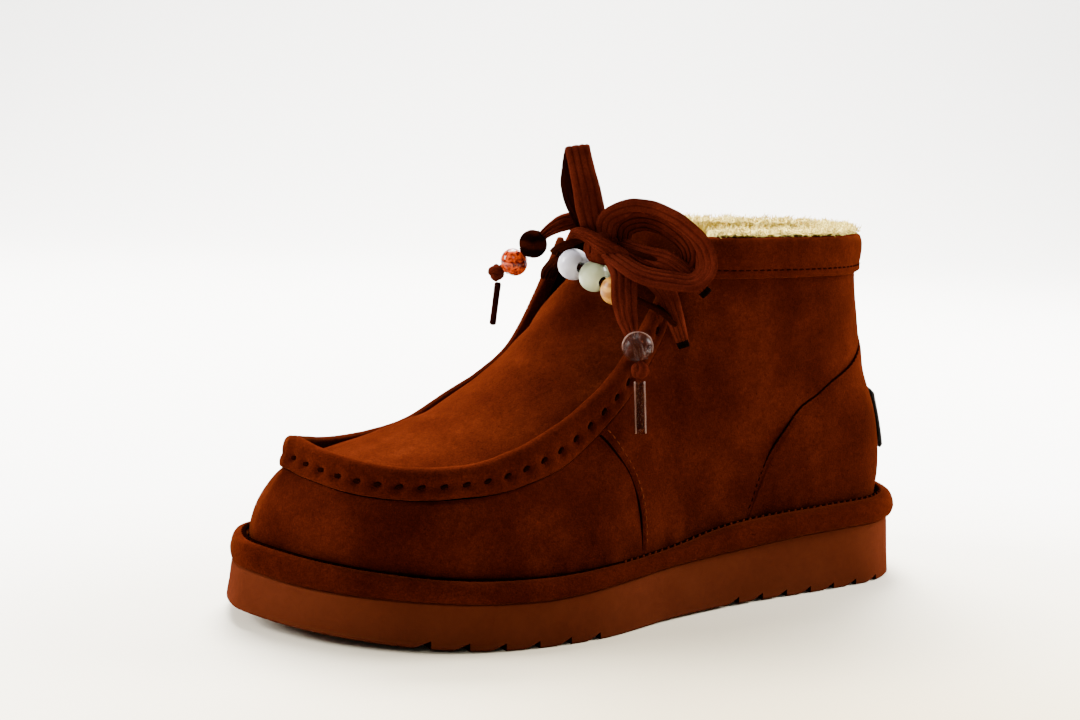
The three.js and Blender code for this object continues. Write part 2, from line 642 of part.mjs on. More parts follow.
// Moc plug and tongue: a domed sheet between the two rims, tucked behind the quarters above them
function inside_edge(place, depth) {
  const side = place >= 0 ? 1 : -1;
  const row = Math.abs(place);
  const f = rim_frame(side * Math.min(row, tuck_row));
  const axis = f.top.clone().sub(f.low).multiplyScalar(0.5);
  const under_rim = f.low.clone().add(axis).addScaledVector(f.out, rim_proud - rim_thickness - gap);
  const back = Math.min(row, 12) + 0.75 * smooth((row - tuck_row + 0.6) / 1.0);
  const behind = at_height(side * back, loop_point(place, 1).z - 0.6, -upper_wall - 1.2);
  return under_rim.lerp(behind, smooth((row - tuck_row + 0.6) / 1.0)).addScaledVector(f.out, -depth);
}
const plug_across = [-1, -0.98, -0.92, -0.78, -0.55, -0.28, 0, 0.28, 0.55, 0.78, 0.92, 0.98, 1];
function plug_point(row, across) {
  const r = table_at(plug_rows, row);
  const outer = inside_edge(row, 0);
  const inner = inside_edge(-row, 0);
  const ridge = V(r[1] * sole_length, r[2] * sole_width, r[3] * collar_height);
  const middle = outer.clone().add(inner).multiplyScalar(0.5);
  const dome = Math.pow(Math.max(0, 1 - Math.pow(Math.abs(across), r[4])), r[5]);
  return outer.multiplyScalar((1 + across) / 2)
    .addScaledVector(inner, (1 - across) / 2)
    .addScaledVector(ridge.sub(middle), dome);
}
function plug_normal(row, across) {
  const e = 0.02;
  const r0 = Math.min(Math.max(row, plug_rows[0][0] + e), 12 - e);
  const a0 = Math.min(Math.max(across, -1 + 2 * e), 1 - 2 * e);
  const along = plug_point(r0 + e, a0).sub(plug_point(r0 - e, a0));
  const over = plug_point(r0, a0 + e).sub(plug_point(r0, a0 - e));
  return over.cross(along).normalize();
}
{
  const rows = [0.6, 1, 1.6, 2.3, 3, 3.7, 4.4, 5, 5.6, 6.2, 6.8, 7.4, 8, 8.6, 9.2, 9.8, 10.4, 11, 11.6, 12];
  const rings = rows.map((row) => {
    const up = plug_normal(row, 0);
    const turn = up.z < 0 ? -1 : 1;
    const top = plug_across.map((a) => plug_point(row, a));
    const under = plug_across.slice().reverse()
      .map((a) => plug_point(row, a * 0.985).addScaledVector(plug_normal(row, a), -turn * plug_thickness));
    return [...top, ...under];
  });
  add('plug_tongue', skin(rings, false, true), suede, 0.9);
}

// Collar pieces follow the top edge of the upper from one front corner round the heel to the other
const collar_places = (() => {
  const one = [12, 12.3, 12.7, 13.2, 13.8, 14.4, 15, 15.6, 16.1, 16.6, 17.1, 17.6, 18.1, 18.6];
  return [...one, upper_last, ...one.slice().reverse().map((v) => -v)];
})();
function collar_ring(section, places) {
  return places.map((place) => section.map(([depth, height]) => {
    const p = at_height(place, collar_height + Math.min(height, -0.5), depth);
    p.z = collar_height + height;
    return p;
  }));
}
{
  const skin_out = seam_step / 2 + gap;
  const low = -binding_height + binding_thickness;
  const section = [
    [skin_out, low], [skin_out + binding_thickness * 0.8, low],
    [skin_out + binding_thickness, low * 0.7], [skin_out + binding_thickness, low * 0.3],
    [skin_out + binding_thickness, gap], [skin_out + binding_thickness * 0.3, gap + binding_thickness],
    [-upper_wall, gap + binding_thickness], [-upper_wall, gap], [skin_out, gap],
    [skin_out, low * 0.3], [skin_out, low * 0.7],
  ];
  add('collar_binding', skin(collar_ring(section, collar_places), false), suede_dark, 0.9);
}
{
  const face = -upper_wall - gap - 0.25;
  const deep = face - fleece_thickness;
  const over = gap + binding_thickness + gap;
  const section = [
    [face, -fleece_depth], [face, -fleece_depth * 0.6], [face, -fleece_depth * 0.25],
    [face, over], [-upper_wall * 0.5, over + 0.4], [-upper_wall * 0.35, over + fleece_rise * 0.45],
    [-upper_wall * 1.1, over + fleece_rise * 0.85], [-upper_wall * 2.2, over + fleece_rise],
    [deep * 0.85, over + fleece_rise * 0.9], [deep - 1, over + fleece_rise * 0.4],
    [deep - 0.6, -fleece_depth * 0.2], [deep, -fleece_depth * 0.6], [deep, -fleece_depth],
  ];
  const places = collar_places.filter((v) => Math.abs(v) > 13);
  add('fleece_lining', skin(collar_ring(section, places), false), 0xe9dcb4, 1);
}

// Insole resting in the tray, inside the upper
{
  const shift = (x) => -inset_at(x) - upper_wall - 1.2;
  add('insole', slab([
    edge_ring(shift, (x) => tray_z(x) + gap),
    edge_ring(shift, (x) => tray_z(x) + gap + insole_thickness),
  ]), 0xd9c9a0, 1);
}

// Bare dark patch at the back of the heel
{
  const middle_z = 60;
  const places = [0.25, 0.5, 0.75, 1].map((f) => upper_last - f * label_width / 26);
  const around = [...places.slice().reverse(), upper_last, ...places.map((v) => -v)];
  const rings = around.map((place) => {
    const heights = [-0.5, -0.17, 0.17, 0.5].map((f) => middle_z + f * label_height);
    const at = (z, depth) => at_height(place, z, depth);
    const near = seam_step * 1.3 + gap;
    return [
      ...heights.map((z) => at(z, near)),
      ...heights.slice().reverse().map((z) => at(z, near + label_thickness)),
    ];
  });
  add('heel_label', skin(rings, false, true), 0x14100e, 0.6);
}

// Laces, their knot, beads and ends
const point = ([x, y, z]) => V(x * sole_length, y * sole_width, z * collar_height);
const in_a_bead = (p) => Object.values(beads).some(([at, , long]) => p.distanceTo(point(at)) < long * bead_size / 2 + 3.4);
const lace_section = [
  [-0.5, -0.25], [-0.4, -0.5], [0.4, -0.5], [0.5, -0.25], [0.5, 0.25], [0.4, 0.5], [-0.4, 0.5], [-0.5, 0.25],
];
function ribbon(points, grow, width) {
  const curve = new THREE.CatmullRomCurve3(points.map(point), false, 'centripetal');
  const steps = Math.max(8, Math.round(curve.getLength() / 4));
  const face = point(viewer);
  const rings = Array.from({ length: steps + 1 }, (_, i) => {
    const at = curve.getPointAt(i / steps);
    const along = curve.getTangentAt(i / steps);
    const across = face.clone().cross(along).normalize();
    const thick = along.clone().cross(across);
    const wide = (in_a_bead(at) ? lace_in_bead : width) + 2 * grow;
    return lace_section.map(([a, b]) => at.clone()
      .addScaledVector(across, a * wide)
      .addScaledVector(thick, b * (lace_thickness + 2 * grow)));
  });
  return solid_of(skin(rings, false));
}
function ball(at, size, grow) {
  const geometry = new THREE.SphereGeometry(1, 12, 8);
  geometry.scale(size[0] + grow, size[1] + grow, size[2] + grow);
  const { x, y, z } = point(at);
  geometry.translate(x, y, z);
  return solid_of(geometry);
}
function bead_geometry(at, across, long, axis, grow) {
  const half = long * bead_size / 2 + grow;
  const r = across * bead_size / 2 + grow;
  const hole = grow > 0 ? 0 : bead_bore / 2;
  const profile = [];
  for (let k = 0; k <= 6; k += 1) {
    const a = -Math.PI / 2 + Math.PI * k / 6;
    profile.push(new THREE.Vector2(Math.max(hole + 0.5, r * Math.pow(Math.max(Math.cos(a), 0), 0.8)), half * Math.sin(a)));
  }
  const loop = [new THREE.Vector2(hole, -half + 0.3), ...profile, new THREE.Vector2(hole, half - 0.3)];
  if (grow <= 0) loop.push(loop[0].clone());
  const geometry = new THREE.LatheGeometry(loop, 12);
  geometry.applyQuaternion(new THREE.Quaternion().setFromUnitVectors(V(0, 1, 0), axis));
  const { x, y, z } = point(at);
  geometry.translate(x, y, z);
  return geometry;
}
function direction_at(points, at) {
  const curve = new THREE.CatmullRomCurve3(points.map(point), false, 'centripetal');
  let best = 0;
  for (let k = 0; k <= 200; k += 1) {
    if (curve.getPointAt(k / 200).distanceTo(point(at)) < curve.getPointAt(best).distanceTo(point(at))) best = k / 200;
  }
  return curve.getTangentAt(best);
}
function largest(solid) {
  return solid.decompose().sort((a, b) => b.volume() - a.volume())[0];
}
{
  const knot_half = knot.size.map((share) => share * knot_size);
  const knot_solid = ball(knot.at, knot_half, 0);
  const keep_clear = [ball(knot.at, knot_half, gap)];
  const bars = crossing_strands.map((points) => ribbon(points, 0, lace_end_width));
  const bars_grown = crossing_strands.map((points) => ribbon(points, gap, lace_end_width));
  const crossings = bars[0].add(bars[1]).subtract(keep_clear[0]);
  add('lace_crossings', geometry_of(largest(crossings)), suede_dark, 0.9);
  add('lace_knot', geometry_of(knot_solid), suede_dark, 0.9);
  keep_clear.push(...bars_grown);
  Object.entries(beads).forEach(([name, [at, across, long, strand]]) => {
    const axis = direction_at(strand ? strands[strand] : crossing_strands[0], at);
    const looks = {
      bead_white: [0xe8e6ea, 0.35], bead_pale: [0xdfe3c8, 0.35], bead_tan: [0xd8b070, 0.4],
      bead_dark: [0x3a1408, 0.3], bead_amber: [0xb02808, 0.1], bead_clear: [0xb08070, 0.05],
    }[name];
    add(name, geometry_of(solid_of(bead_geometry(at, across, long, axis, 0))), looks[0], looks[1]);
    keep_clear.push(solid_of(bead_geometry(at, across, long, axis, gap)));
  });
  Object.entries(end_knots).forEach(([name, [at, share]]) => {
    const radius = share * end_knot_size;
    add(name, geometry_of(ball(at, [radius, radius, radius], 0)), suede_dark, 0.9);
    keep_clear.push(ball(at, [radius, radius, radius], gap));
  });
  Object.entries(aglets).forEach(([name, [from, to, share]]) => {
    const axis = point(to).sub(point(from));
    const pin = new THREE.CylinderGeometry(share * aglet_diameter / 2, share * aglet_diameter / 2, axis.length(), 12);
    pin.applyQuaternion(new THREE.Quaternion().setFromUnitVectors(V(0, 1, 0), axis.clone().normalize()));
    const middle = point(from).addScaledVector(axis, 0.5);
    pin.translate(middle.x, middle.y, middle.z);
    add(name, pin, 0x3a1a10, 0.2);
  });
  const beads_clear = keep_clear.splice(3);
  const bored = Object.values(beads).map(([at]) => point(at));
  Object.entries(strands).forEach(([name, points]) => {
    const own = points.map(point);
    const width = name.startsWith('lace_loop') ? lace_width : lace_end_width;
    const others = beads_clear.filter((_, i) => i >= bored.length || !own.some((p) => p.distanceTo(bored[i]) < 1));
    const clear = [...keep_clear, ...others].reduce((solid, other) => solid.subtract(other), ribbon(points, 0, width));
    add(name, geometry_of(largest(clear)), suede_dark, 0.9);
    keep_clear.push(ribbon(points, gap, width));
  });
}

// The origin is at floor level under the middle of the boot's box, loose laces left out
const loose = [...Object.keys(strands), ...Object.keys(end_knots), ...Object.keys(aglets),
  'lace_knot', 'bead_dark', 'bead_amber', 'bead_clear'];
const box = new THREE.Box3();
boot.children.filter((mesh) => !loose.includes(mesh.name)).forEach((mesh) => box.expandByObject(mesh));
const middle = box.getCenter(V(0, 0, 0));
boot.position.set(-middle.x, -middle.y, -box.min.z);

export default boot;
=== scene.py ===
import math
import random
import bpy
import numpy as np
from mathutils import Matrix, Vector, noise


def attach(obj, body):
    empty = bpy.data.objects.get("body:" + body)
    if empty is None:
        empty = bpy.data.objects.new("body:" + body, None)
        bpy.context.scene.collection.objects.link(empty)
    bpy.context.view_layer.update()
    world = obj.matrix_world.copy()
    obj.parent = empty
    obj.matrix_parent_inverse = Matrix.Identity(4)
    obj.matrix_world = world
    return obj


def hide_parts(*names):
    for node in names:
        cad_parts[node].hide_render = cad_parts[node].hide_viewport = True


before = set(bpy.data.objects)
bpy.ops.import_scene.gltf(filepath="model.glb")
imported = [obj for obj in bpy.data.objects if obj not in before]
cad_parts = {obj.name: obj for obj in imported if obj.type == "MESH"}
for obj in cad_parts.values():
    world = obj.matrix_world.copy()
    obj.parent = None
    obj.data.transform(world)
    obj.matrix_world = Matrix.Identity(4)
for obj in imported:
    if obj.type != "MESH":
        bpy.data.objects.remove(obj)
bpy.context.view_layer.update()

# Left mukluk ankle boot. Shapes are worked out in millimetres from the heel,
# then moved to the model's origin.
origin = np.array([-130.597, -0.921, 0.0])

# Camera of the photograph: place, right, down and forward, in the boot's own millimetres
camera_at = np.array([440.365, 492.690, 172.1])
camera_right = np.array([-0.864478, 0.501449, 0.035024])
camera_down = np.array([0.045128, 0.146817, -0.988134])
camera_ahead = np.array([-0.500641, -0.852639, -0.149549])
focal_pixels = 1600.0

# Sizes
sole_length = 262
sole_width = 117.8
heel_thickness = 23.4
toe_spring = 5.7
arch_rise = 0.9
sole_flare = 1.8
tread_depth = 2.6
tread_length = 5.6
tread_pitch = 11.6
band_height = 9
band_bulge = 2.6
band_lip = 3.4
upper_inset = 5.4
upper_wall = 2.6
seam_step = 1
collar_height = 131
rim_height = 11.5
rim_thickness = 4.4
rim_proud = 1.1
plug_thickness = 2.4
binding_height = 14
binding_thickness = 1.3
fleece_thickness = 6
pile_rise = 1.6
insole_thickness = 4
label_width = 46
label_height = 23
label_thickness = 1.5
lip_clearance = 1
gap = 0.35
label_middle = 60
row_spacing = 26
stitch_up = 0.41
dent_depth = 0.95
swell_height = 0.55
curl_count = 5200
# Places just short of the middle of the heel, where the two sides meet
heel_end = 0.99999
# Tread: first notch as a share of the sole's length, and how many follow
tread_sets = [(0.085, 7), (0.605, 6)]
# Rows of the upper: collar from its front corner to the heel, counter seam,
# and where the two kinds of band stitches begin and end
collar_row = 12
heel_row = 19
counter_row = 13.55
band_stitches_from = 8.5
toe_stitches_to = 8.6

# Sole outline round the foot, as shares of the length and the width, toe tip first, outer side next
outline = [
    [1.0, -0.05], [0.99, 0.02], [0.953, 0.16], [0.896, 0.29], [0.824, 0.40], [0.730, 0.475], [0.605, 0.49],
    [0.481, 0.43], [0.325, 0.385], [0.168, 0.370], [0.085, 0.348], [0.040, 0.284], [0.010, 0.161], [0, 0.02],
    [0.010, -0.122], [0.040, -0.236], [0.088, -0.310], [0.168, -0.340], [0.325, -0.320], [0.460, -0.340],
    [0.585, -0.410], [0.688, -0.468], [0.782, -0.475], [0.865, -0.432], [0.927, -0.36], [0.969, -0.265],
    [0.993, -0.15],
]
# Side view of the sole: station, thickness, spring, arch, band height, band bulge, upper inset
side_rows = [
    [0, 1, 0, 0, 1, 1, 1],
    [0.086, 0.987, 0, 0, 1, 1, 1],
    [0.221, 0.957, 0, 0.1, 0.97, 1, 1],
    [0.336, 0.882, 0, 0.8, 1.02, 0.9, 1],
    [0.398, 0.855, 0, 1, 0.88, 0.8, 0.96],
    [0.46, 0.82, 0, 0.8, 0.66, 0.6, 0.9],
    [0.522, 0.775, 0, 0.3, 0.62, 0.5, 0.86],
    [0.585, 0.735, 0, 0, 0.68, 0.5, 0.86],
    [0.668, 0.665, 0, 0, 0.76, 0.5, 0.9],
    [0.772, 0.65, 0.08, 0, 0.77, 0.5, 0.94],
    [0.875, 0.618, 0.4, 0, 0.84, 0.45, 1.02],
    [0.948, 0.585, 0.72, 0, 0.97, 0.3, 1.06],
    [1, 0.605, 1, 0, 0.97, 0.3, 1.06],
]
# Upper, one row every few centimetres from the toe round to the heel:
# place along the sole edge, top point x, y, z, low bulge, low reach, high bulge, high reach
outer_rows = [
    [0, 0.939, -0.055, 0.397, 1.5, 0.3, 5.5, 0.2],
    [0.066, 0.925, 0.073, 0.386, 1.5, 0.35, 5.5, 0.2],
    [0.13, 0.891, 0.212, 0.371, 2, 0.35, 5, 0.2],
    [0.19, 0.838, 0.323, 0.369, 2.5, 0.4, 5, 0.2],
    [0.25, 0.771, 0.382, 0.375, 2.5, 0.4, 4.5, 0.2],
    [0.3, 0.71, 0.39, 0.389, 2.5, 0.4, 4, 0.25],
    [0.355, 0.641, 0.376, 0.426, 2.5, 0.4, 4, 0.3],
    [0.4, 0.594, 0.357, 0.48, 2, 0.35, 3.5, 0.3],
    [0.435, 0.549, 0.34, 0.55, 2, 0.33, 3, 0.33],
    [0.47, 0.508, 0.314, 0.628, 2, 0.33, 2.5, 0.33],
    [0.505, 0.464, 0.289, 0.748, 1.5, 0.33, 2.5, 0.33],
    [0.535, 0.443, 0.282, 0.86, 1, 0.33, 2, 0.33],
    [0.565, 0.418, 0.292, 1, 0.5, 0.33, 1, 0.33],
    [0.615, 0.363, 0.319, 1, 0.5, 0.33, 0, 0.33],
    [0.68, 0.296, 0.326, 1, 0.5, 0.33, -0.5, 0.35],
    [0.755, 0.219, 0.318, 1, 1, 0.33, -1, 0.4],
    [0.825, 0.151, 0.278, 1, 2.2, 0.33, -1.5, 0.45],
    [0.89, 0.098, 0.194, 1, 3, 0.33, -1.8, 0.5],
    [0.95, 0.067, 0.093, 1, 3, 0.33, -1.9, 0.51],
    [1, 0.058, 0, 1, 3, 0.33, -1.9, 0.51],
]
inner_rows = [
    [0, 0.939, -0.055, 0.397, 1.5, 0.3, 5.5, 0.2],
    [0.066, 0.922, -0.161, 0.378, 1.5, 0.35, 5.5, 0.2],
    [0.13, 0.878, -0.268, 0.356, 2, 0.35, 5, 0.2],
    [0.19, 0.832, -0.333, 0.344, 2.5, 0.4, 5, 0.2],
    [0.25, 0.765, -0.356, 0.346, 2.5, 0.4, 4.5, 0.2],
    [0.3, 0.703, -0.358, 0.362, 2.5, 0.4, 4, 0.25],
    [0.355, 0.643, -0.35, 0.414, 2.5, 0.4, 4, 0.3],
    [0.4, 0.597, -0.34, 0.473, 2, 0.35, 3.5, 0.3],
    [0.435, 0.558, -0.325, 0.548, 2, 0.33, 3, 0.33],
    [0.47, 0.533, -0.305, 0.628, 2, 0.33, 2.5, 0.33],
    [0.505, 0.508, -0.286, 0.748, 1.5, 0.33, 2.5, 0.33],
    [0.535, 0.485, -0.284, 0.86, 1, 0.33, 2, 0.33],
    [0.565, 0.448, -0.289, 1, 0.5, 0.33, 1, 0.33],
    [0.615, 0.367, -0.308, 1, 0.5, 0.33, 0, 0.33],
    [0.68, 0.296, -0.318, 1, 0.5, 0.33, -0.5, 0.35],
    [0.755, 0.219, -0.31, 1, 1, 0.33, -1, 0.4],
    [0.825, 0.151, -0.27, 1, 2.2, 0.33, -1.5, 0.45],
    [0.89, 0.098, -0.19, 1, 3, 0.33, -1.8, 0.5],
    [0.95, 0.067, -0.091, 1, 3, 0.33, -1.9, 0.51],
    [1, 0.058, 0, 1, 3, 0.33, -1.9, 0.51],
]
# Moc seam, one row per upper row: its top edge set forward, sideways and up from the upper's top point
rim_rows = [
    [-0.26, 0.00, 1.00], [-0.18, -0.06, 1.00], [-0.10, -0.16, 0.99], [-0.06, -0.18, 0.92],
    [0.00, -0.16, 0.96],
    [0.02, -0.14, 1.10], [0.14, -0.12, 1.24], [0.10, -0.14, 1.20], [0.10, -0.16, 1.08], [0.18, -0.15, 0.98],
    [0.22, -0.16, 0.86], [0.24, -0.15, 0.62], [0.22, -0.13, 0.4],
]
rim_last_row = 11.45
tuck_row = 10
# Middle line of plug and tongue: upper row of its edges, x, y, z, then two numbers for the dome's shape
plug_rows = [
    [0.6, 0.909, -0.05, 0.434, 1.9, 0.72], [1, 0.911, -0.045, 0.433, 1.9, 0.72],
    [2, 0.877, -0.034, 0.432, 1.9, 0.72],
    [3, 0.82, -0.034, 0.453, 1.9, 0.72], [4, 0.754, -0.034, 0.496, 1.9, 0.72],
    [5, 0.693, -0.034, 0.545, 1.85, 0.74],
    [6, 0.641, -0.034, 0.61, 1.8, 0.78], [7, 0.605, -0.034, 0.673, 1.7, 0.84],
    [8, 0.574, -0.034, 0.742, 1.6, 0.92],
    [9, 0.542, -0.034, 0.816, 1.55, 1], [10, 0.511, -0.026, 0.893, 1.5, 1],
    [11, 0.486, -0.017, 0.967, 1.5, 1],
    [12, 0.462, -0.01, 1.05, 1.5, 1],
]
# Vamp seam: share of the wall's height, upper row
vamp_seam = [[0, 9.75], [0.25, 9.45], [0.5, 8.85], [0.75, 8.05], [1, 7.4]]
vamp_seam_row = 8.8
# Counter seam: upper row, share of the wall's height
counter_seam = [
    [12, 0.36], [12.8, 0.2], [13.6, 0.02], [13.8, 0.12], [14, 0.21], [14.35, 0.31], [14.65, 0.39],
    [15.05, 0.445],
    [15.45, 0.5], [16.2, 0.58], [17, 0.66], [18, 0.71], [19, 0.73],
]
counter_seam_share = 0.36

# Laces: points of each strand as shares of the sole's length and width and the collar's height
strands = {
    "lace_loop_up": [
        [0.5180, 0.1040, 0.9985], [0.5270, 0.1050, 1.0299], [0.5310, 0.1000, 1.0671],
        [0.5362, 0.0900, 1.1257],
        [0.5425, 0.0800, 1.1830], [0.5480, 0.0735, 1.2290], [0.5468, 0.0610, 1.2440],
        [0.5450, 0.0510, 1.2290],
        [0.5470, 0.0440, 1.1850], [0.5480, 0.0400, 1.1450], [0.5430, 0.0400, 1.1000],
        [0.5320, 0.0490, 1.0560],
        [0.5170, 0.0679, 1.0038]],
    "lace_loop_side": [
        [0.5141, 0.1273, 0.9924], [0.5120, 0.1358, 1.0450], [0.4896, 0.1698, 1.0726],
        [0.4659, 0.2122, 1.0700],
        [0.4484, 0.2632, 1.0500], [0.4350, 0.3141, 1.0170], [0.4300, 0.3665, 0.9764],
        [0.4330, 0.3900, 0.9315],
        [0.4479, 0.3850, 0.9048], [0.4721, 0.3496, 0.9060], [0.5021, 0.2901, 0.9189],
        [0.5160, 0.2207, 0.9476],
        [0.5190, 0.1700, 0.9620]],
    "lace_end_left": [
        [0.5153, 0.0764, 0.9924], [0.5279, 0.0424, 1.0366], [0.5485, 0.0297, 1.0382],
        [0.5710, 0.0212, 1.0183],
        [0.5859, 0.0153, 0.9954], [0.5962, 0.0085, 0.9756], [0.6034, -0.0170, 0.9489],
        [0.6122, -0.0424, 0.9221], [0.6226, -0.0545, 0.9070], [0.6320, -0.0665, 0.8930]],
    "lace_end_front": [
        [0.5120, 0.1600, 0.9580], [0.5181, 0.2462, 0.9120], [0.5257, 0.2800, 0.8664],
        [0.5270, 0.3000, 0.8160],
        [0.5267, 0.3268, 0.7687], [0.5233, 0.3557, 0.7305], [0.5203, 0.3610, 0.6969]],
    "lace_end_lower": [
        [0.5092, 0.1358, 0.9656], [0.4981, 0.2207, 0.9359], [0.4821, 0.2716, 0.9061],
        [0.4691, 0.3098, 0.8649],
        [0.4611, 0.3396, 0.7992], [0.4504, 0.3608, 0.7244]],
    "lace_end_upper": [
        [0.5000, 0.1273, 0.9847], [0.4851, 0.2292, 0.9656], [0.4641, 0.3098, 0.9504],
        [0.4427, 0.3480, 0.9122],
        [0.4206, 0.3735, 0.8656]],
}
crossings = [
    [[0.5080, -0.2340, 0.8560], [0.5120, -0.2140, 0.8760], [0.5180, -0.1600, 0.9020],
     [0.5270, -0.0850, 0.9170], [0.5269, -0.0057, 0.9165], [0.5216, 0.0985, 0.8931], [0.5129, 0.1853, 0.8626],
     [0.4990, 0.2680, 0.8420], [0.4780, 0.3180, 0.8180], [0.4580, 0.3340, 0.7860]],
    [[0.4900, -0.2400, 0.9260], [0.5000, -0.2000, 0.9360], [0.5180, -0.1300, 0.9450],
     [0.5300, -0.0650, 0.9560], [0.5330, 0.0050, 0.9760], [0.5248, 0.0455, 0.9880], [0.5057, 0.1358, 0.9695],
     [0.4828, 0.2377, 0.9504], [0.4523, 0.3124, 0.9313]],
]
knot_at = [0.5115, 0.1019, 0.9733]
# Beads: middle, size across and along in millimetres, and the strand it sits on
beads = {
    "bead_white": ([0.5269, -0.0057, 0.9165], 11.4, 10.4, None),
    "bead_pale": ([0.5216, 0.0985, 0.8931], 11.2, 10.4, None),
    "bead_tan": ([0.5129, 0.1853, 0.8626], 10.4, 9.6, None),
    "bead_dark": ([0.5962, 0.0085, 0.9756], 10.2, 9.4, "lace_end_left"),
    "bead_amber": ([0.6122, -0.0424, 0.9221], 10.2, 8.8, "lace_end_left"),
    "bead_clear": ([0.5233, 0.3557, 0.7305], 11, 9.6, "lace_end_front"),
}
end_knots = {
    "end_knot_left": ([0.6330, -0.0683, 0.8916], 2.7, "lace_end_left"),
    "end_knot_front": ([0.5200, 0.3640, 0.6700], 2.9, "lace_end_front"),
}
aglets = {
    "aglet_left": ([0.6294, -0.0688, 0.8656], [0.6353, -0.0713, 0.7472], 2.5),
    "aglet_front": ([0.5219, 0.3684, 0.6427], [0.5215, 0.3860, 0.5037], 4.2),
}
viewer = np.array([0.48, 0.86, 0.15])
viewer = viewer / np.linalg.norm(viewer)


def real(points):
    """Shares of the boot's sizes as millimetres."""
    return np.asarray(points, float) * [sole_length, sole_width, collar_height]


def unit(v):
    """Vectors with length one."""
    v = np.asarray(v, float)
    return v / np.maximum(np.linalg.norm(v, axis=-1, keepdims=True), 1e-9)


def smooth(f):
    c = np.clip(f, 0, 1)
    return c * c * (3 - 2 * c)


# Tables as smooth curves
def row_at(rows, place):
    rows = np.asarray(rows, float)
    last = len(rows) - 1
    at = np.clip(np.asarray(place, float), 0, last)
    i = np.minimum(at.astype(int), last - 1)
    f = (at - i)[..., None]
    a = rows[np.maximum(i - 1, 0)]
    b = rows[i]
    c = rows[i + 1]
    d = rows[np.minimum(i + 2, last)]
    m0 = (c - a) / np.where(i > 0, 2, 1)[..., None]
    m1 = (d - b) / np.where(i + 2 <= last, 2, 1)[..., None]
    rise = c - b
    return b + f * m0 + f * f * (3 * rise - 2 * m0 - m1) + f ** 3 * (m0 + m1 - 2 * rise)


def table_at(rows, key):
    rows = np.asarray(rows, float)
    keys = rows[:, 0]
    last = len(rows) - 1
    key = np.clip(np.asarray(key, float), keys[0], keys[-1])
    i = np.clip(np.searchsorted(keys, key) - 1, 0, last - 1)
    h = (keys[i + 1] - keys[i])[..., None]
    f = (key[..., None] - keys[i][..., None]) / h
    low = np.maximum(i - 1, 0)
    high = np.minimum(i + 2, last)
    m0 = (rows[i + 1] - rows[low]) / (keys[i + 1] - keys[low])[..., None]
    m1 = (rows[high] - rows[i]) / (keys[high] - keys[i])[..., None]
    rise = rows[i + 1] - rows[i]
    return rows[i] + f * m0 * h + f * f * (3 * rise - (2 * m0 + m1) * h) + f ** 3 * ((m0 + m1) * h - 2 * rise)


def spline(points, closed=False, steps=24):
    """Dense points on a smooth curve through the given ones."""
    p = np.asarray(points, float)
    if closed:
        p = np.vstack([p[-1], p, p[0], p[1]])
    else:
        p = np.vstack([2 * p[0] - p[1], p, 2 * p[-1] - p[-2]])
    t = (np.arange(steps) / steps)[:, None]
    rows = []
    for i in range(len(p) - 3):
        p0, p1, p2, p3 = p[i:i + 4]
        d0, d1, d2 = [max(np.sqrt(np.linalg.norm(b - a)), 1e-4) for a, b in ((p0, p1), (p1, p2), (p2, p3))]
        m1 = ((p1 - p0) / d0 - (p2 - p0) / (d0 + d1) + (p2 - p1) / d1) * d1
        m2 = ((p2 - p1) / d1 - (p3 - p1) / (d1 + d2) + (p3 - p2) / d2) * d1
        c2 = 3 * (p2 - p1) - 2 * m1 - m2
        c3 = 2 * (p1 - p2) + m1 + m2
        rows.append(p1 + m1 * t + c2 * t ** 2 + c3 * t ** 3)
    return np.vstack(rows + [p[-2][None]])


def even(points, count):
    """The same curve with evenly spaced points."""
    step = np.linalg.norm(np.diff(points, axis=0), axis=1)
    far = np.concatenate([[0], np.cumsum(step)])
    at = np.linspace(0, far[-1], count)
    return np.stack([np.interp(at, far, points[:, k]) for k in range(points.shape[1])], 1)


def length_of(points):
    return float(np.linalg.norm(np.diff(points, axis=0), axis=1).sum())


def tangents(points):
    return unit(np.gradient(points, axis=0))


# Edge of the sole round the foot
edge_points = even(spline([[x * sole_length, y * sole_width] for x, y in outline], True, 160), 4001)
edge_out = np.gradient(edge_points, axis=0)
edge_out[0] = edge_out[-1] = edge_points[1] - edge_points[-2]
edge_out = unit(np.stack([edge_out[:, 1], -edge_out[:, 0]], 1))
heel_share = (1400 + np.argmin(edge_points[1400:2601, 0])) / 4000


def edge_at(place):
    place = np.asarray(place, float)
    u = np.where(place >= 0, place * heel_share, 1 + place * (1 - heel_share)) % 1.0 * 4000
    i = np.minimum(u.astype(int), 3999)
    f = (u - i)[..., None]
    at = edge_points[i] * (1 - f) + edge_points[i + 1] * f
    out = unit(edge_out[i] * (1 - f) + edge_out[i + 1] * f)
    return at, out


def side_at(x):
    return table_at(side_rows, np.asarray(x, float) / sole_length)


def ground_z(x):
    row = side_at(x)
    return np.maximum(row[..., 2], 0) * toe_spring + np.maximum(row[..., 3], 0) * arch_rise


def outsole_top(x):
    row = side_at(x)
    return row[..., 1] * heel_thickness + row[..., 2] * toe_spring


def band_top(x):
    return outsole_top(x) + gap + side_at(x)[..., 4] * band_height


def tray_z(x):
    return band_top(x) - band_lip


def inset_at(x):
    return side_at(x)[..., 6] * upper_inset


def edge_ring(places, shift, height):
    """A closed ring set out from the sole's edge."""
    at, out = edge_at(places)
    x = at[:, 0]
    flat = at + out * np.broadcast_to(shift(x), x.shape)[:, None]
    return np.column_stack([flat, np.broadcast_to(height(x), x.shape)])


# Outer face of the upper
upper_last = len(outer_rows) - 1


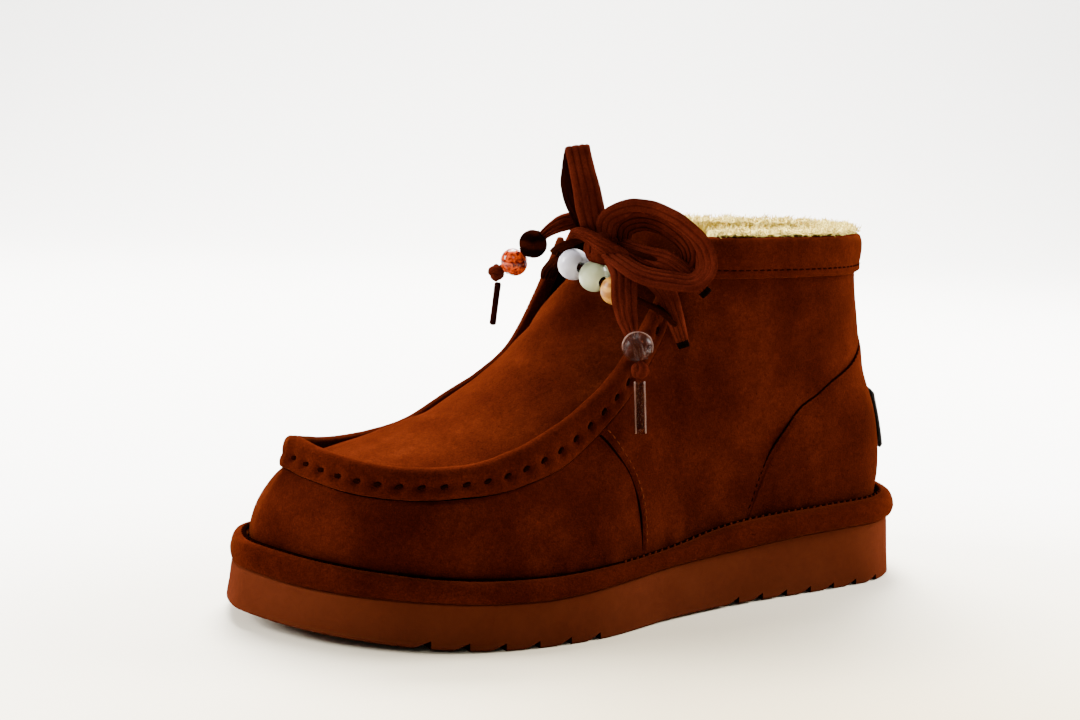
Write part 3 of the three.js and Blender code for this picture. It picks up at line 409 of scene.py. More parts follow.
def loop_point(place, share):
    place, share = np.broadcast_arrays(np.asarray(place, float), np.asarray(share, float))
    outer = (place >= 0)[..., None]
    row = np.abs(place)
    r = np.where(outer, row_at(outer_rows, row), row_at(inner_rows, row))
    along = np.minimum(r[..., 0], heel_end)
    at, out = edge_at(np.where(place >= 0, along, -along))
    out = np.concatenate([out, np.zeros_like(out[..., :1])], -1)
    base = np.concatenate([at, (tray_z(at[..., 0]) + gap)[..., None]], -1)
    base = base - out * inset_at(at[..., 0])[..., None]
    top = np.stack([r[..., 1] * sole_length, r[..., 2] * sole_width,
                    np.minimum(r[..., 3], 1) * collar_height], -1)
    rise = top[..., 2] - base[..., 2]
    low = base + out * r[..., 4:5]
    low[..., 2] += rise * r[..., 5]
    high = top + out * r[..., 6:7]
    high[..., 2] -= rise * r[..., 7]
    s = share[..., None]
    q = 1 - s
    return base * q ** 3 + low * 3 * q * q * s + high * 3 * q * s * s + top * s ** 3


def wall_normal(place, share):
    e = 0.02
    place, share = np.broadcast_arrays(np.asarray(place, float), np.asarray(share, float))
    p0 = np.where(place > upper_last - e, place - 2 * e, place)
    s0 = np.minimum(share, 1 - e)
    across = loop_point(p0 + e, share) - loop_point(p0 - e, share)
    up = loop_point(place, s0 + e) - loop_point(place, s0)
    return unit(np.cross(across, up))


def at_height(place, z, depth):
    """Points on the upper at a height, set out from it level."""
    place, z, depth = np.broadcast_arrays(*[np.asarray(v, float) for v in (place, z, depth)])
    lo = np.zeros(place.shape)
    hi = np.ones(place.shape)
    for _ in range(22):
        mid = (lo + hi) / 2
        below = loop_point(place, mid)[..., 2] < z
        lo = np.where(below, mid, lo)
        hi = np.where(below, hi, mid)
    n = wall_normal(place, lo)
    n[..., 2] = 0
    p = loop_point(place, lo) + unit(n) * depth[..., None]
    p[..., 2] = z
    return p


def seam_shift(place, share):
    row = np.abs(place)
    reach = np.maximum(0, 1 - np.abs(row - vamp_seam_row) / 3)
    moved = row + reach * (table_at(vamp_seam, share)[..., 1] - vamp_seam_row)
    return np.where(place >= 0, moved, -moved)


def counter_shift(row, share):
    middle = np.where(row < counter_seam[0][0], counter_seam_share, table_at(counter_seam, row)[..., 1])
    k = counter_seam_share
    return np.where(share < k, share * middle / k, middle + (share - k) * (1 - middle) / (1 - k))


def wall_relief(place, share):
    """How far the wall stands proud: quarters over the vamp and the counter over the quarters."""
    row = np.abs(place)
    quarter = smooth((row - vamp_seam_row) / 0.12 + 0.5)
    counter = smooth((row - counter_row) / 0.1) * smooth((counter_seam_share - share) / 0.03 + 0.5)
    return quarter * seam_step * 0.5 + counter * seam_step * 0.5


def wall_grid(place, share):
    """Real place and share of a point given along the seams."""
    real_share = counter_shift(np.abs(place), share)
    return seam_shift(place, real_share), real_share


def wall_at(place, share, depth=0.0, bare=False):
    """Points on the dressed wall and their outward directions."""
    place, share = np.broadcast_arrays(np.asarray(place, float), np.asarray(share, float))
    p, s = (place, share) if bare else wall_grid(place, share)
    n = wall_normal(p, s)
    flat = n.copy()
    flat[..., 2] = 0
    lean = smooth(s * 6)[..., None]
    n = unit(n * lean + unit(flat) * (1 - lean))
    proud = 0 if bare else wall_relief(place, share) * smooth(s * 8)
    return loop_point(p, s) + n * (np.asarray(proud + depth) * np.ones(place.shape))[..., None], n


# Scene building
def settle(points):
    """Boot millimetres as metres in the model's frame."""
    return (np.asarray(points, float) + origin) / 1000.0


def make(name, points, faces, materials, kinds=None, slot=None, sharp=None):
    """A smooth mesh piece from points in boot millimetres."""
    mesh = bpy.data.meshes.new(name)
    mesh.from_pydata(settle(points).tolist(), [], faces)
    if kinds is not None:
        mesh.polygons.foreach_set("material_index", kinds)
    mesh.polygons.foreach_set("use_smooth", [True] * len(mesh.polygons))
    for material in materials if isinstance(materials, (list, tuple)) else [materials]:
        mesh.materials.append(material)
    mesh.update()
    if sharp:
        mesh.set_sharp_from_angle(angle=math.radians(sharp))
    obj = bpy.data.objects.new(name, mesh)
    bpy.context.scene.collection.objects.link(obj)
    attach(obj, "root")
    return obj


def grid_faces(rings, points, wrap_rings, wrap_points, start=0):
    i = np.arange(rings if wrap_rings else rings - 1)[:, None]
    j = np.arange(points if wrap_points else points - 1)[None, :]
    i2 = (i + 1) % rings
    j2 = (j + 1) % points
    quads = np.stack([i * points + j, i2 * points + j, i2 * points + j2, i * points + j2], -1) + start
    return quads.reshape(-1, 4).tolist()


def outward(points, faces):
    """The same faces, turned to face out of the closed body that they make."""
    p = np.asarray(points)
    volume = 0.0
    for face in faces:
        a, b = p[face[0]], p[face[1]]
        for k in range(2, len(face)):
            c = p[face[k]]
            volume += float(np.dot(a, np.cross(b, c)))
            b = c
    return faces if volume > 0 else [tuple(reversed(face)) for face in faces]


def tube(rings, closed=False):
    """Points and faces of a body swept through rings, with its ends closed."""
    rings = np.asarray(rings, float)
    count, ring = rings.shape[:2]
    points = rings.reshape(-1, 3)
    faces = grid_faces(count, ring, closed, True)
    if not closed:
        ends = np.stack([rings[0].mean(0), rings[-1].mean(0)])
        a = count * ring
        points = np.vstack([points, ends])
        last = (count - 1) * ring
        for j in range(ring):
            k = (j + 1) % ring
            faces.append((a, j, k))
            faces.append((a + 1, last + k, last + j))
    return points, outward(points, faces)


def join(parts):
    """One body list from several: points and faces together."""
    points, faces, start = [], [], 0
    for p, f in parts:
        points.append(p)
        faces += [tuple(v + start for v in face) for face in f]
        start += len(p)
    return np.vstack(points), faces


def wobble(points, size, depth, seed=0.0):
    """Soft noise at each point, from -depth to depth."""
    return np.array([noise.noise(Vector((p[0] / size + seed, p[1] / size, p[2] / size)))
                     for p in points]) * depth


def round_bar(at, along, up, long, wide, high, segments=8, rings=5):
    """A small rounded bar, such as a stitch."""
    side = np.cross(along, up)
    out = []
    for i in range(rings):
        a = -math.pi / 2 + math.pi * i / (rings - 1)
        reach = math.cos(a) * 0.98 + 0.02
        centre = at + along * math.sin(a) * long / 2
        ring = []
        for j in range(segments):
            b = 2 * math.pi * j / segments
            sideways = side * math.cos(b) * wide / 2 * reach ** 0.6
            ring.append(centre + sideways + up * math.sin(b) * high / 2 * reach ** 0.6)
        out.append(ring)
    return tube(out)


def stitch_row(name, points, normals, long, pitch, wide, high, material, slot, lift=0.0, turn=0.0, skip=None):
    """Separate stitches along a line on a surface."""
    step = np.linalg.norm(np.diff(points, axis=0), axis=1)
    far = np.concatenate([[0], np.cumsum(step)])
    count = max(int(far[-1] / pitch), 1)
    parts = []
    for k in range(count):
        d = (k + 0.5) * far[-1] / count
        at = np.array([np.interp(d, far, points[:, c]) for c in range(3)])
        ahead = np.array([np.interp(min(d + 0.4, far[-1]), far, points[:, c]) for c in range(3)])
        n = unit(np.array([np.interp(d, far, normals[:, c]) for c in range(3)]))
        along = ahead - at
        if np.linalg.norm(along) < 1e-4:
            continue
        along = unit(along - n * np.dot(along, n))
        if turn:
            side = np.cross(n, along)
            along = along * math.cos(turn) + side * math.sin(turn)
        if skip is not None and skip(at):
            continue
        parts.append(round_bar(at + n * lift, along, n, long, wide, high))
    points, faces = join(parts)
    return make(name, points, faces, material, slot=slot)


def seam_line(name, points, wide, material, slot):
    """A thin line laid in a seam, drawn dark as painted seam shade."""
    points = np.asarray(points, float)
    along = tangents(points)
    u = unit(np.cross(along, [0.13, 0.21, 0.97]))
    v = np.cross(along, u)
    angles = np.linspace(0, 2 * math.pi, 8, False)
    rings = [[p + (a * math.cos(q) + b * math.sin(q)) * wide / 2 for q in angles]
             for p, a, b in zip(points, u, v)]
    return make(name, *tube(rings), material, slot=slot)


# Materials
def new_material(name):
    material = bpy.data.materials.new(name)
    material.use_nodes = True
    nodes = material.node_tree.nodes
    nodes.clear()
    out = nodes.new("ShaderNodeOutputMaterial")
    shader = nodes.new("ShaderNodeBsdfPrincipled")
    material.node_tree.links.new(shader.outputs["BSDF"], out.inputs["Surface"])
    return material, nodes, material.node_tree.links, shader


def noise_node(nodes, links, where, scale, detail=3.0, roughness=0.55, distortion=0.0):
    n = nodes.new("ShaderNodeTexNoise")
    n.inputs["Scale"].default_value = scale
    n.inputs["Detail"].default_value = detail
    n.inputs["Roughness"].default_value = roughness
    n.inputs["Distortion"].default_value = distortion
    links.new(where, n.inputs["Vector"])
    return n.outputs["Fac"]


def ramp_node(nodes, links, value, stops):
    ramp = nodes.new("ShaderNodeValToRGB")
    elements = ramp.color_ramp.elements
    while len(elements) < len(stops):
        elements.new(0.5)
    for element, (at, colour) in zip(elements, stops):
        element.position = at
        element.color = (*colour, 1)
    links.new(value, ramp.inputs["Fac"])
    return ramp.outputs["Color"]


def mix_node(nodes, links, kind, factor, a, b):
    mix = nodes.new("ShaderNodeMix")
    mix.data_type = "RGBA"
    mix.blend_type = kind
    for socket, value in ((mix.inputs[0], factor), (mix.inputs[6], a), (mix.inputs[7], b)):
        if hasattr(value, "is_output"):
            links.new(value, socket)
        elif isinstance(value, (int, float)):
            socket.default_value = value
        else:
            socket.default_value = (*value, 1)
    return mix.outputs[2]


def bump_node(nodes, links, shader, heights):
    """Bumps laid on each other: (height, distance in metres, strength)."""
    last = None
    for height, distance, strength in heights:
        bump = nodes.new("ShaderNodeBump")
        bump.inputs["Strength"].default_value = strength
        bump.inputs["Distance"].default_value = distance
        links.new(height, bump.inputs["Height"])
        if last is not None:
            links.new(last, bump.inputs["Normal"])
        last = bump.outputs["Normal"]
    links.new(last, shader.inputs["Normal"])


def object_place(nodes):
    return nodes.new("ShaderNodeTexCoord").outputs["Object"]


def suede_material(name, dark, middle, light, sheen=0.06):
    """Napped suede: faint brushed patches, a fine fibre grain and small dark flecks."""
    material, nodes, links, shader = new_material(name)
    where = object_place(nodes)
    patches = noise_node(nodes, links, where, 46, 3, 0.5, 0.3)
    streaks = noise_node(nodes, links, where, 480, 4, 0.65, 0.5)
    grain = noise_node(nodes, links, where, 1500, 3, 0.7)
    fibre = noise_node(nodes, links, where, 5200, 1, 0.5)
    flecks = noise_node(nodes, links, where, 620, 1, 0.4, 2.0)
    colour = ramp_node(nodes, links, patches, [(0.28, dark), (0.5, middle), (0.74, light)])
    fine = ramp_node(nodes, links, streaks, [(0.3, (0.76, 0.72, 0.72)), (0.7, (1.22, 1.26, 1.26))])
    colour = mix_node(nodes, links, "MULTIPLY", 0.85, colour, fine)
    specks = ramp_node(nodes, links, grain, [(0.32, (0.62, 0.58, 0.58)), (0.7, (1.38, 1.44, 1.44))])
    colour = mix_node(nodes, links, "MULTIPLY", 0.8, colour, specks)
    pins = ramp_node(nodes, links, flecks, [(0.22, (0.35, 0.3, 0.3)), (0.3, (1.0, 1.0, 1.0))])
    colour = mix_node(nodes, links, "MULTIPLY", 0.8, colour, pins)
    links.new(colour, shader.inputs["Base Color"])
    shader.inputs["Roughness"].default_value = 0.92
    shader.inputs["Specular IOR Level"].default_value = 0.0
    shader.inputs["Sheen Weight"].default_value = sheen
    shader.inputs["Sheen Roughness"].default_value = 0.4
    shader.inputs["Sheen Tint"].default_value = (0.75, 0.16, 0.03, 1)
    bump_node(nodes, links, shader, [
        (streaks, 0.0004, 0.35), (grain, 0.00028, 0.6), (fibre, 0.0001, 0.5)])
    return material


def fleece_material(name, dark, light):
    material, nodes, links, shader = new_material(name)
    where = object_place(nodes)
    clumps = noise_node(nodes, links, where, 420, 3, 0.6, 1.5)
    fibre = noise_node(nodes, links, where, 2600, 2, 0.6, 2.0)
    colour = ramp_node(nodes, links, clumps, [(0.3, dark), (0.6, light)])
    links.new(colour, shader.inputs["Base Color"])
    shader.inputs["Roughness"].default_value = 0.95
    shader.inputs["Specular IOR Level"].default_value = 0.15
    shader.inputs["Sheen Weight"].default_value = 0.1
    shader.inputs["Sheen Roughness"].default_value = 0.5
    shader.inputs["Sheen Tint"].default_value = (1.0, 0.85, 0.5, 1)
    shader.inputs["Subsurface Weight"].default_value = 0.2
    shader.inputs["Subsurface Radius"].default_value = (0.004, 0.003, 0.002)
    bump_node(nodes, links, shader, [(clumps, 0.0016, 0.8), (fibre, 0.0005, 0.6)])
    return material


def rubber_material(name, dark, light):
    """Foam rubber sole: even colour, faint scuffs and a fine moulded grain."""
    material, nodes, links, shader = new_material(name)
    where = object_place(nodes)
    cloud = noise_node(nodes, links, where, 28, 4, 0.55)
    scuff = noise_node(nodes, links, where, 190, 5, 0.7, 1.5)
    grain = noise_node(nodes, links, where, 1500, 2, 0.6)
    colour = ramp_node(nodes, links, cloud, [(0.3, dark), (0.7, light)])
    marks = ramp_node(nodes, links, scuff, [(0.3, (0.86, 0.85, 0.84)), (0.6, (1.06, 1.06, 1.06))])
    links.new(mix_node(nodes, links, "MULTIPLY", 0.6, colour, marks), shader.inputs["Base Color"])
    rough = nodes.new("ShaderNodeMapRange")
    rough.inputs["To Min"].default_value = 0.6
    rough.inputs["To Max"].default_value = 0.8
    links.new(scuff, rough.inputs["Value"])
    links.new(rough.outputs["Result"], shader.inputs["Roughness"])
    shader.inputs["Specular IOR Level"].default_value = 0.0
    bump_node(nodes, links, shader, [(scuff, 0.0003, 0.3), (grain, 0.00015, 0.35)])
    return material


def plain_material(name, colour, roughness, spot=(0.9, 1.08), scale=300.0, shine=0.03, grain=0.0002):
    material, nodes, links, shader = new_material(name)
    where = object_place(nodes)
    cloud = noise_node(nodes, links, where, scale, 4, 0.6)
    low = tuple(c * spot[0] for c in colour)
    high = tuple(min(c * spot[1], 1) for c in colour)
    links.new(ramp_node(nodes, links, cloud, [(0.3, low), (0.7, high)]), shader.inputs["Base Color"])
    shader.inputs["Roughness"].default_value = roughness
    shader.inputs["Specular IOR Level"].default_value = shine
    bump_node(nodes, links, shader, [(cloud, grain, 0.3)])
    return material


def wood_material(name, dark, light, scale, shine):
    """Turned wood bead: rings and fine pores."""
    material, nodes, links, shader = new_material(name)
    where = object_place(nodes)
    wave = nodes.new("ShaderNodeTexWave")
    wave.bands_direction = "Z"
    wave.inputs["Scale"].default_value = scale
    wave.inputs["Distortion"].default_value = 5.0
    wave.inputs["Detail"].default_value = 3.0
    wave.inputs["Detail Scale"].default_value = 1.5
    links.new(where, wave.inputs["Vector"])
    pores = noise_node(nodes, links, where, 1500, 2, 0.6)
    colour = ramp_node(nodes, links, wave.outputs["Fac"], [(0.2, dark), (0.8, light)])
    links.new(colour, shader.inputs["Base Color"])
    shader.inputs["Roughness"].default_value = 0.34
    shader.inputs["Specular IOR Level"].default_value = shine
    bump_node(nodes, links, shader, [(wave.outputs["Fac"], 0.0002, 0.3), (pores, 0.0001, 0.3)])
    return material


def clear_material(name, colour, streak, transmission, roughness, bend, shine):
    """See-through bead or sleeve with faint streaks inside."""
    material, nodes, links, shader = new_material(name)
    where = object_place(nodes)
    cloud = noise_node(nodes, links, where, 220, 3, 0.6, 2.5)
    links.new(ramp_node(nodes, links, cloud, [(0.38, streak), (0.6, colour)]), shader.inputs["Base Color"])
    shader.inputs["Roughness"].default_value = roughness
    shader.inputs["Transmission Weight"].default_value = transmission
    shader.inputs["IOR"].default_value = bend
    shader.inputs["Specular IOR Level"].default_value = 0.12
    shader.inputs["Coat Weight"].default_value = shine
    shader.inputs["Coat Roughness"].default_value = 0.04
    return material


def lace_material(name, dark, light):
    """Flat lace with fine lengthwise ribs."""
    material, nodes, links, shader = new_material(name)
    where = object_place(nodes)
    patches = noise_node(nodes, links, where, 140, 3, 0.6)
    grain = noise_node(nodes, links, where, 1700, 2, 0.7)
    colour = ramp_node(nodes, links, patches, [(0.3, dark), (0.7, light)])
    specks = ramp_node(nodes, links, grain, [(0.35, (0.76, 0.75, 0.74)), (0.65, (1.18, 1.18, 1.18))])
    links.new(mix_node(nodes, links, "MULTIPLY", 0.9, colour, specks), shader.inputs["Base Color"])
    shader.inputs["Roughness"].default_value = 0.78
    shader.inputs["Specular IOR Level"].default_value = 0.0
    shader.inputs["Sheen Weight"].default_value = 0.04
    shader.inputs["Sheen Roughness"].default_value = 0.4
    shader.inputs["Sheen Tint"].default_value = (0.6, 0.12, 0.03, 1)
    bump_node(nodes, links, shader, [(grain, 0.0003, 0.6)])
    return material


suede = suede_material("suede", (0.0155, 0.0017, 0.0007), (0.0235, 0.0028, 0.0010), (0.036, 0.0048, 0.0016))
suede_rim = suede_material("suede rim", (0.018, 0.0020, 0.0007), (0.026, 0.0031, 0.0010),
                           (0.035, 0.0045, 0.0015))
suede_plug = suede_material("suede plug", (0.019, 0.0021, 0.0008), (0.028, 0.0036, 0.0011),
                            (0.041, 0.0060, 0.0017))
# Painted shade: a near-black copy of the suede for the inside faces of the front of the upper, which lie in
# shade.
suede_painted_shade = suede_material("inner suede painted shade", (0.0045, 0.0006, 0.0002), (0.0065, 0.0009, 0.0003),
                            (0.009, 0.0013, 0.0004), 0.0)
fleece = fleece_material("fleece", (0.50, 0.36, 0.07), (0.82, 0.66, 0.16))
rubber = rubber_material("sole rubber", (0.042, 0.0082, 0.0032), (0.056, 0.0118, 0.0048))
# Painted shade: a near-black copy of the sole rubber for the inside of the tread notches.
rubber_painted_shade = rubber_material("tread recess painted shade", (0.004, 0.0010, 0.0004), (0.006, 0.0014, 0.0005))
thread = plain_material("thread", (0.0055, 0.0008, 0.0003), 0.9, (0.7, 1.2), 900, 0.0)
thread_light = plain_material("pale thread", (0.062, 0.0120, 0.0044), 0.9, (0.7, 1.2), 900, 0.0)
# Painted shade: a near-black colour for thin lines laid in the seams and the band channel, where shade gathers.
painted_seam_shade = plain_material("painted_seam_shade", (0.0022, 0.0004, 0.0002), 0.95, (0.7, 1.2), 900, 0.0)
patch = plain_material("dark patch", (0.0022, 0.0012, 0.0009), 0.75, (0.7, 1.4), 700)
lace = lace_material("lace", (0.026, 0.0032, 0.0014), (0.046, 0.0066, 0.0030))
# Painted shade: a darker copy of the lace for the rib grooves.
lace_groove_shade = lace_material("lace groove painted shade", (0.018, 0.0021, 0.0009), (0.030, 0.0038, 0.0016))
# Dark lace: the own colour of the aglet cores, and painted shade on the crossings, the side loop's inner turn
# and the back of the upper loop.
lace_dark_and_shade = lace_material("dark lace and painted shade", (0.0055, 0.0008, 0.0004), (0.011, 0.0015, 0.0006))
burnt = plain_material("burnt tip", (0.0016, 0.0008, 0.0006), 0.7, (0.6, 1.4), 900, 0.0)
bead_looks = {
    "bead_white": plain_material("white bead", (0.44, 0.43, 0.50), 0.3, (0.93, 1.04), 130, 0.35, 0.0001),
    "bead_pale": plain_material("pale bead", (0.40, 0.44, 0.27), 0.3, (0.86, 1.08), 150, 0.35, 0.0001),
    "bead_tan": wood_material("tan bead", (0.22, 0.085, 0.014), (0.40, 0.19, 0.036), 90, 0.12),
    "bead_dark": wood_material("dark bead", (0.0022, 0.0004, 0.0002), (0.011, 0.0015, 0.0005), 60, 0.0),
    "bead_amber": clear_material("amber bead", (0.050, 0.0015, 0.0004), (0.50, 0.050, 0.003), 0.0, 0.12,
                                 1.4, 0.12),
    "bead_clear": clear_material("smoky bead", (0.020, 0.0040, 0.0015), (0.034, 0.0080, 0.0034), 0.0, 0.3,
                                 1.45, 0.02),
}
bead_looks["bead_clear"].node_tree.nodes["Principled BSDF"].inputs["Alpha"].default_value = 0.38
film = clear_material("sleeve film", (0.030, 0.006, 0.002), (0.05, 0.012, 0.005), 0.0, 0.3, 1.45, 0.02)
film.node_tree.nodes["Principled BSDF"].inputs["Alpha"].default_value = 0.3
# Painted highlight: a pale glassy colour for the bright rim of the smoky bead and the two edges of the front
# sleeve.
glint = plain_material("painted glass glint", (0.20, 0.115, 0.09), 0.35, (0.9, 1.1), 300, 0.2)

# Camera
camera_data = bpy.data.cameras.new("camera")
camera_data.sensor_fit = "HORIZONTAL"
camera_data.sensor_width = 36.0
camera_data.lens = 36.0 * focal_pixels / 1080.0
camera_data.clip_start = 0.01
camera_data.clip_end = 50.0
camera = bpy.data.objects.new("camera", camera_data)
bpy.context.scene.collection.objects.link(camera)
turn = Matrix([
    (camera_right[k], -camera_down[k], -camera_ahead[k], settle(camera_at)[k])
    for k in range(3)] + [(0, 0, 0, 1)])
camera.matrix_world = turn
bpy.context.scene.camera = camera


# Laces
ribs = 4
rib_steps = 8


def flat_frames(points, face, turns=None):
    """Width and thickness directions along a flat lace, carried on from its shown face and turned in degrees."""
    along = tangents(points)
    across = np.empty_like(along)
    across[0] = unit(np.cross(face, along[0]))
    for i in range(1, len(along)):
        carried = across[i - 1] - along[i] * np.dot(across[i - 1], along[i])
        across[i] = unit(carried)
    thick = unit(np.cross(along, across))
    if turns is not None:
        a = np.radians(np.interp(np.linspace(0, 1, len(points)), np.linspace(0, 1, len(turns)), turns))[:,
                                                            None]
        across, thick = across * np.cos(a) + thick * np.sin(a), thick * np.cos(a) - across * np.sin(a)
    return along, across, thick


def lace_body(points, wide, thick, face=viewer, turns=None, curl=0.0, seed=0.0):
    """A flat ribbed lace; wide and thick are lists along it."""
    points = np.asarray(points, float)
    count = len(points)
    t = np.linspace(0, 1, count)
    wide = np.interp(t, np.linspace(0, 1, len(wide)), wide)
    thick = np.interp(t, np.linspace(0, 1, len(thick)), thick)
    _, across, up = flat_frames(points, face, turns)
    a = np.linspace(-1, 1, rib_steps * ribs + 1)
    rings = []
    for i in range(count):
        drift = 0.10 * math.sin(i * 0.21 + seed) + 0.05 * math.sin(i * 0.53 + 2 * seed)
        b = a + drift * (1 - a * a)
        ribbing = 0.52 + 0.48 * np.abs(np.sin((b + 1) * math.pi * ribs / 2)) ** 0.8
        half = np.sqrt(np.maximum(1 - np.abs(a) ** 4, 0)) * ribbing
        bow = curl * thick[i]
        fold = 0.22 * thick[i] * math.sin(i * 0.17 + 1.3 * seed)
        lift = up[i] * (-bow * a * a + fold * np.sin(a * 2.4 + seed))[:, None]
        flat = points[i] + across[i] * (a * wide[i] / 2)[:, None] + lift
        thickness = up[i] * (half * thick[i] / 2)[:, None]
        rings.append(np.vstack([flat + thickness, (flat - thickness)[::-1][1:-1]]))
    return tube(rings)


def groove_kinds(faces):
    """0 on a lace's ribs and 1 in its grooves, which take a darker copy of the lace as painted shade."""
    across = rib_steps * ribs
    kinds = []
    for k in range(len(faces)):
        j = k % (2 * across)
        j = j if j <= across else 2 * across - j - 1
        inside = rib_steps - 2 < j < across - rib_steps + 2
        kinds.append(1 if j % rib_steps in (0, rib_steps - 1) and inside else 0)
    return kinds


def lace_line(name, count=None):
    dense = spline(real(strands[name]), False, 24)
    return even(dense, count or max(24, int(length_of(dense) / 1.1)))


lace_paths = {name: lace_line(name) for name in strands}
# Ribbons: widths, thicknesses and turns in degrees along the strand, then how far the edges curl
lace_shapes = {
    "lace_loop_up": ([7.5, 9.6, 10.6, 10.2, 9.4, 9.0, 9.0, 9.0, 8.8, 8.6, 8.4, 8, 7],
                     [2.2, 1.8, 1.6, 1.6, 1.5, 1.5, 1.6, 1.7, 1.9],
                     [0, 4, 6, 4, 0, 0, -6, -10, -6, 0], 0.3),
    "lace_loop_side": ([7, 8.6, 10, 10.4, 10.4, 9.8, 9.4, 9.6, 10.2, 10.4, 10, 9, 7.5],
                       [2.2, 1.8, 1.6, 1.6, 1.6, 1.7, 1.8, 1.7, 1.7, 2.0],
                       [0, 18, 26, 26, 20, 8, -8, -20, -20, -10, 0], 0.4),
    "lace_end_left": ([6, 6.2, 6.4, 6.2, 4.6, 3, 3, 3, 3, 3.4],
                      [2.4, 2.6, 2.6, 2.4, 2.4, 2.2, 2.2, 2.2, 2.2, 2.4],
                      [0, 10, 20, 10, 0], 0.3),
    "lace_end_front": ([7, 8.6, 9.2, 9.0, 7.0, 3.6, 3.2], [2.2, 1.9, 1.8, 1.8, 2.0, 2.2, 2.4],
                       [0, -12, -18, -8, 0], 0.5),
    "lace_end_lower": ([6, 7.4, 7.8, 7.4, 6.2, 4.0], [2.2, 2.0, 1.9, 1.9, 2.0, 1.8], [0, 14, 18, 10, 0], 0.5),
    "lace_end_upper": ([6, 7, 7.2, 6.4, 4.2], [2.2, 2.0, 2.0, 2.0, 1.8], [0, -10, -14, 0], 0.4),
}
for name, (wide, thick, turns, curl) in lace_shapes.items():
    points, faces = lace_body(lace_paths[name], wide, thick, viewer, turns, curl, len(name) * 0.7)
    points = points + unit(points - points.mean(0)) * wobble(points, 5.0, 0.16, 3.1)[:, None]
    kinds = groove_kinds(faces)
    looks = [lace, lace_groove_shade, lace_dark_and_shade]
    # Painted shade: the back half of the upper loop takes the dark lace.
    if name == "lace_loop_up":
        kinds = [2 if i > len(faces) * 0.53 else k for i, k in enumerate(kinds)]
    if name in ("lace_end_lower", "lace_end_upper"):
        tip = lace_paths[name][-1]
        looks = [lace, lace_groove_shade, burnt]
        kinds = [2 if np.linalg.norm(points[list(f)].mean(0) - tip) < 2.8 else k
                 for f, k in zip(faces, kinds)]
    piece = make(name + "_ribbon", points, faces, looks, kinds, slot="lace")
    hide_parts(name)

# The side loop's inner turn, seen through it, in the darker lace copies as painted shade
turn_in = lace_paths["lace_loop_side"]
middle = turn_in.mean(0)
turn_in = middle + (turn_in - middle) * 0.66 - viewer * 4.2 + [0, 0, 0.8]
points, faces = lace_body(turn_in, [7, 9, 9, 8, 8, 8, 7], [1.8], viewer, [0, 30, 30, 0, -20, 0], 0.4, 1.9)
make("lace_loop_inner", points, faces, [lace_groove_shade, lace_dark_and_shade], groove_kinds(faces), slot="lace")

# Crossings run from eyelet to eyelet, through the row of beads and behind the knot, in the dark lace as painted
# shade
parts = []
for k, row in enumerate(crossings):
    line = even(spline(real(row), False, 24), 84)
    if k == 0:
        near = np.min([np.linalg.norm(line - real(beads[b][0]), axis=1)
                       for b in ("bead_white", "bead_pale", "bead_tan")], 0)
        wide = np.where(near < 8, 3.2, 5.4)
        wide = np.convolve(np.pad(wide, 3, mode="edge"), np.ones(7) / 7, "valid")
        parts.append(lace_body(line, wide, [2.0], viewer, None, 0.3))
    else:
        parts.append(lace_body(line, [5.5, 6.5, 7.2, 7.5, 7.2, 6.6, 5.5], [1.8], viewer,
                               [0, 20, 10, -10, 0], 0.4))
points, faces = join(parts)
piece = make("lace_crossing_ribbons", points, faces, lace_dark_and_shade, slot="lace")
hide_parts("lace_crossings")


def ball_body(at, size, segments=32, rings=20):
    out = []
    for i in range(rings + 1):
        a = -math.pi / 2 + math.pi * i / rings
        a = max(min(a, math.pi / 2 - 0.02), -math.pi / 2 + 0.02)
        out.append([at + np.array([math.cos(a) * math.cos(b) * size[0], math.cos(a) * math.sin(b) * size[1],
                                   math.sin(a) * size[2]])
                                   for b in np.linspace(0, 2 * math.pi, segments, False)])
    return tube(out)


def wrap_body(at, radii, axis, start, turns, wide, thick, count=64):
    """A flat lace wound round a knot's core."""
    axis = unit(axis)
    u = unit(np.cross(axis, [0.3, 0.2, 1.0]))
    v = np.cross(axis, u)
    t = np.linspace(0, 1, count)
    a = start + turns * 2 * math.pi * t
    line = at + np.outer(np.cos(a) * radii[0], u) + np.outer(np.sin(a) * radii[1],
                                                            v) + np.outer((t - 0.5) * radii[2], axis)
    out = unit(line - at)
    along = tangents(line)
    across = unit(np.cross(out, along))
    up = np.cross(along, across)
    profile = [(math.cos(b), math.sin(b)) for b in np.linspace(0, 2 * math.pi, 20, False)]
    rings = [[line[i] + across[i] * x * wide / 2 + up[i] * y * thick / 2 * (0.85 + 0.15 * math.cos(6 * x))
              for x, y in profile]
             for i in range(count)]
    return tube(rings)


centre = real([knot_at])[0]
over = even(spline(real([
    [0.5540, 0.0700, 1.0060], [0.5510, 0.0942, 1.0103], [0.5418, 0.1320, 0.9998], [0.5264, 0.1650, 0.9738],
    [0.5070, 0.1960, 0.9480], [0.4900, 0.2150, 0.9330]]), False, 24), 40)
points, faces = join([
    ball_body(centre, [5.4, 6.2, 5.0]),
    wrap_body(centre, [5.4, 5.8, 3.5], viewer * 0.5 + [0.3, -0.1, 0.9], 0.4, 1.15, 6.4, 2.2),
    wrap_body(centre, [6.2, 5.8, 2.5], [0.6, -0.75, 0.1], 2.2, 1.1, 5.4, 2.0),
    lace_body(over, [3.5, 5.0, 6.0, 6.6, 7.0, 6.6], [2.0, 2.2, 2.2, 2.0], viewer, [0, 10, 0], 0.5),
])
knot = make("lace_knot_wraps", points, faces, lace, slot="lace")
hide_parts("lace_knot")


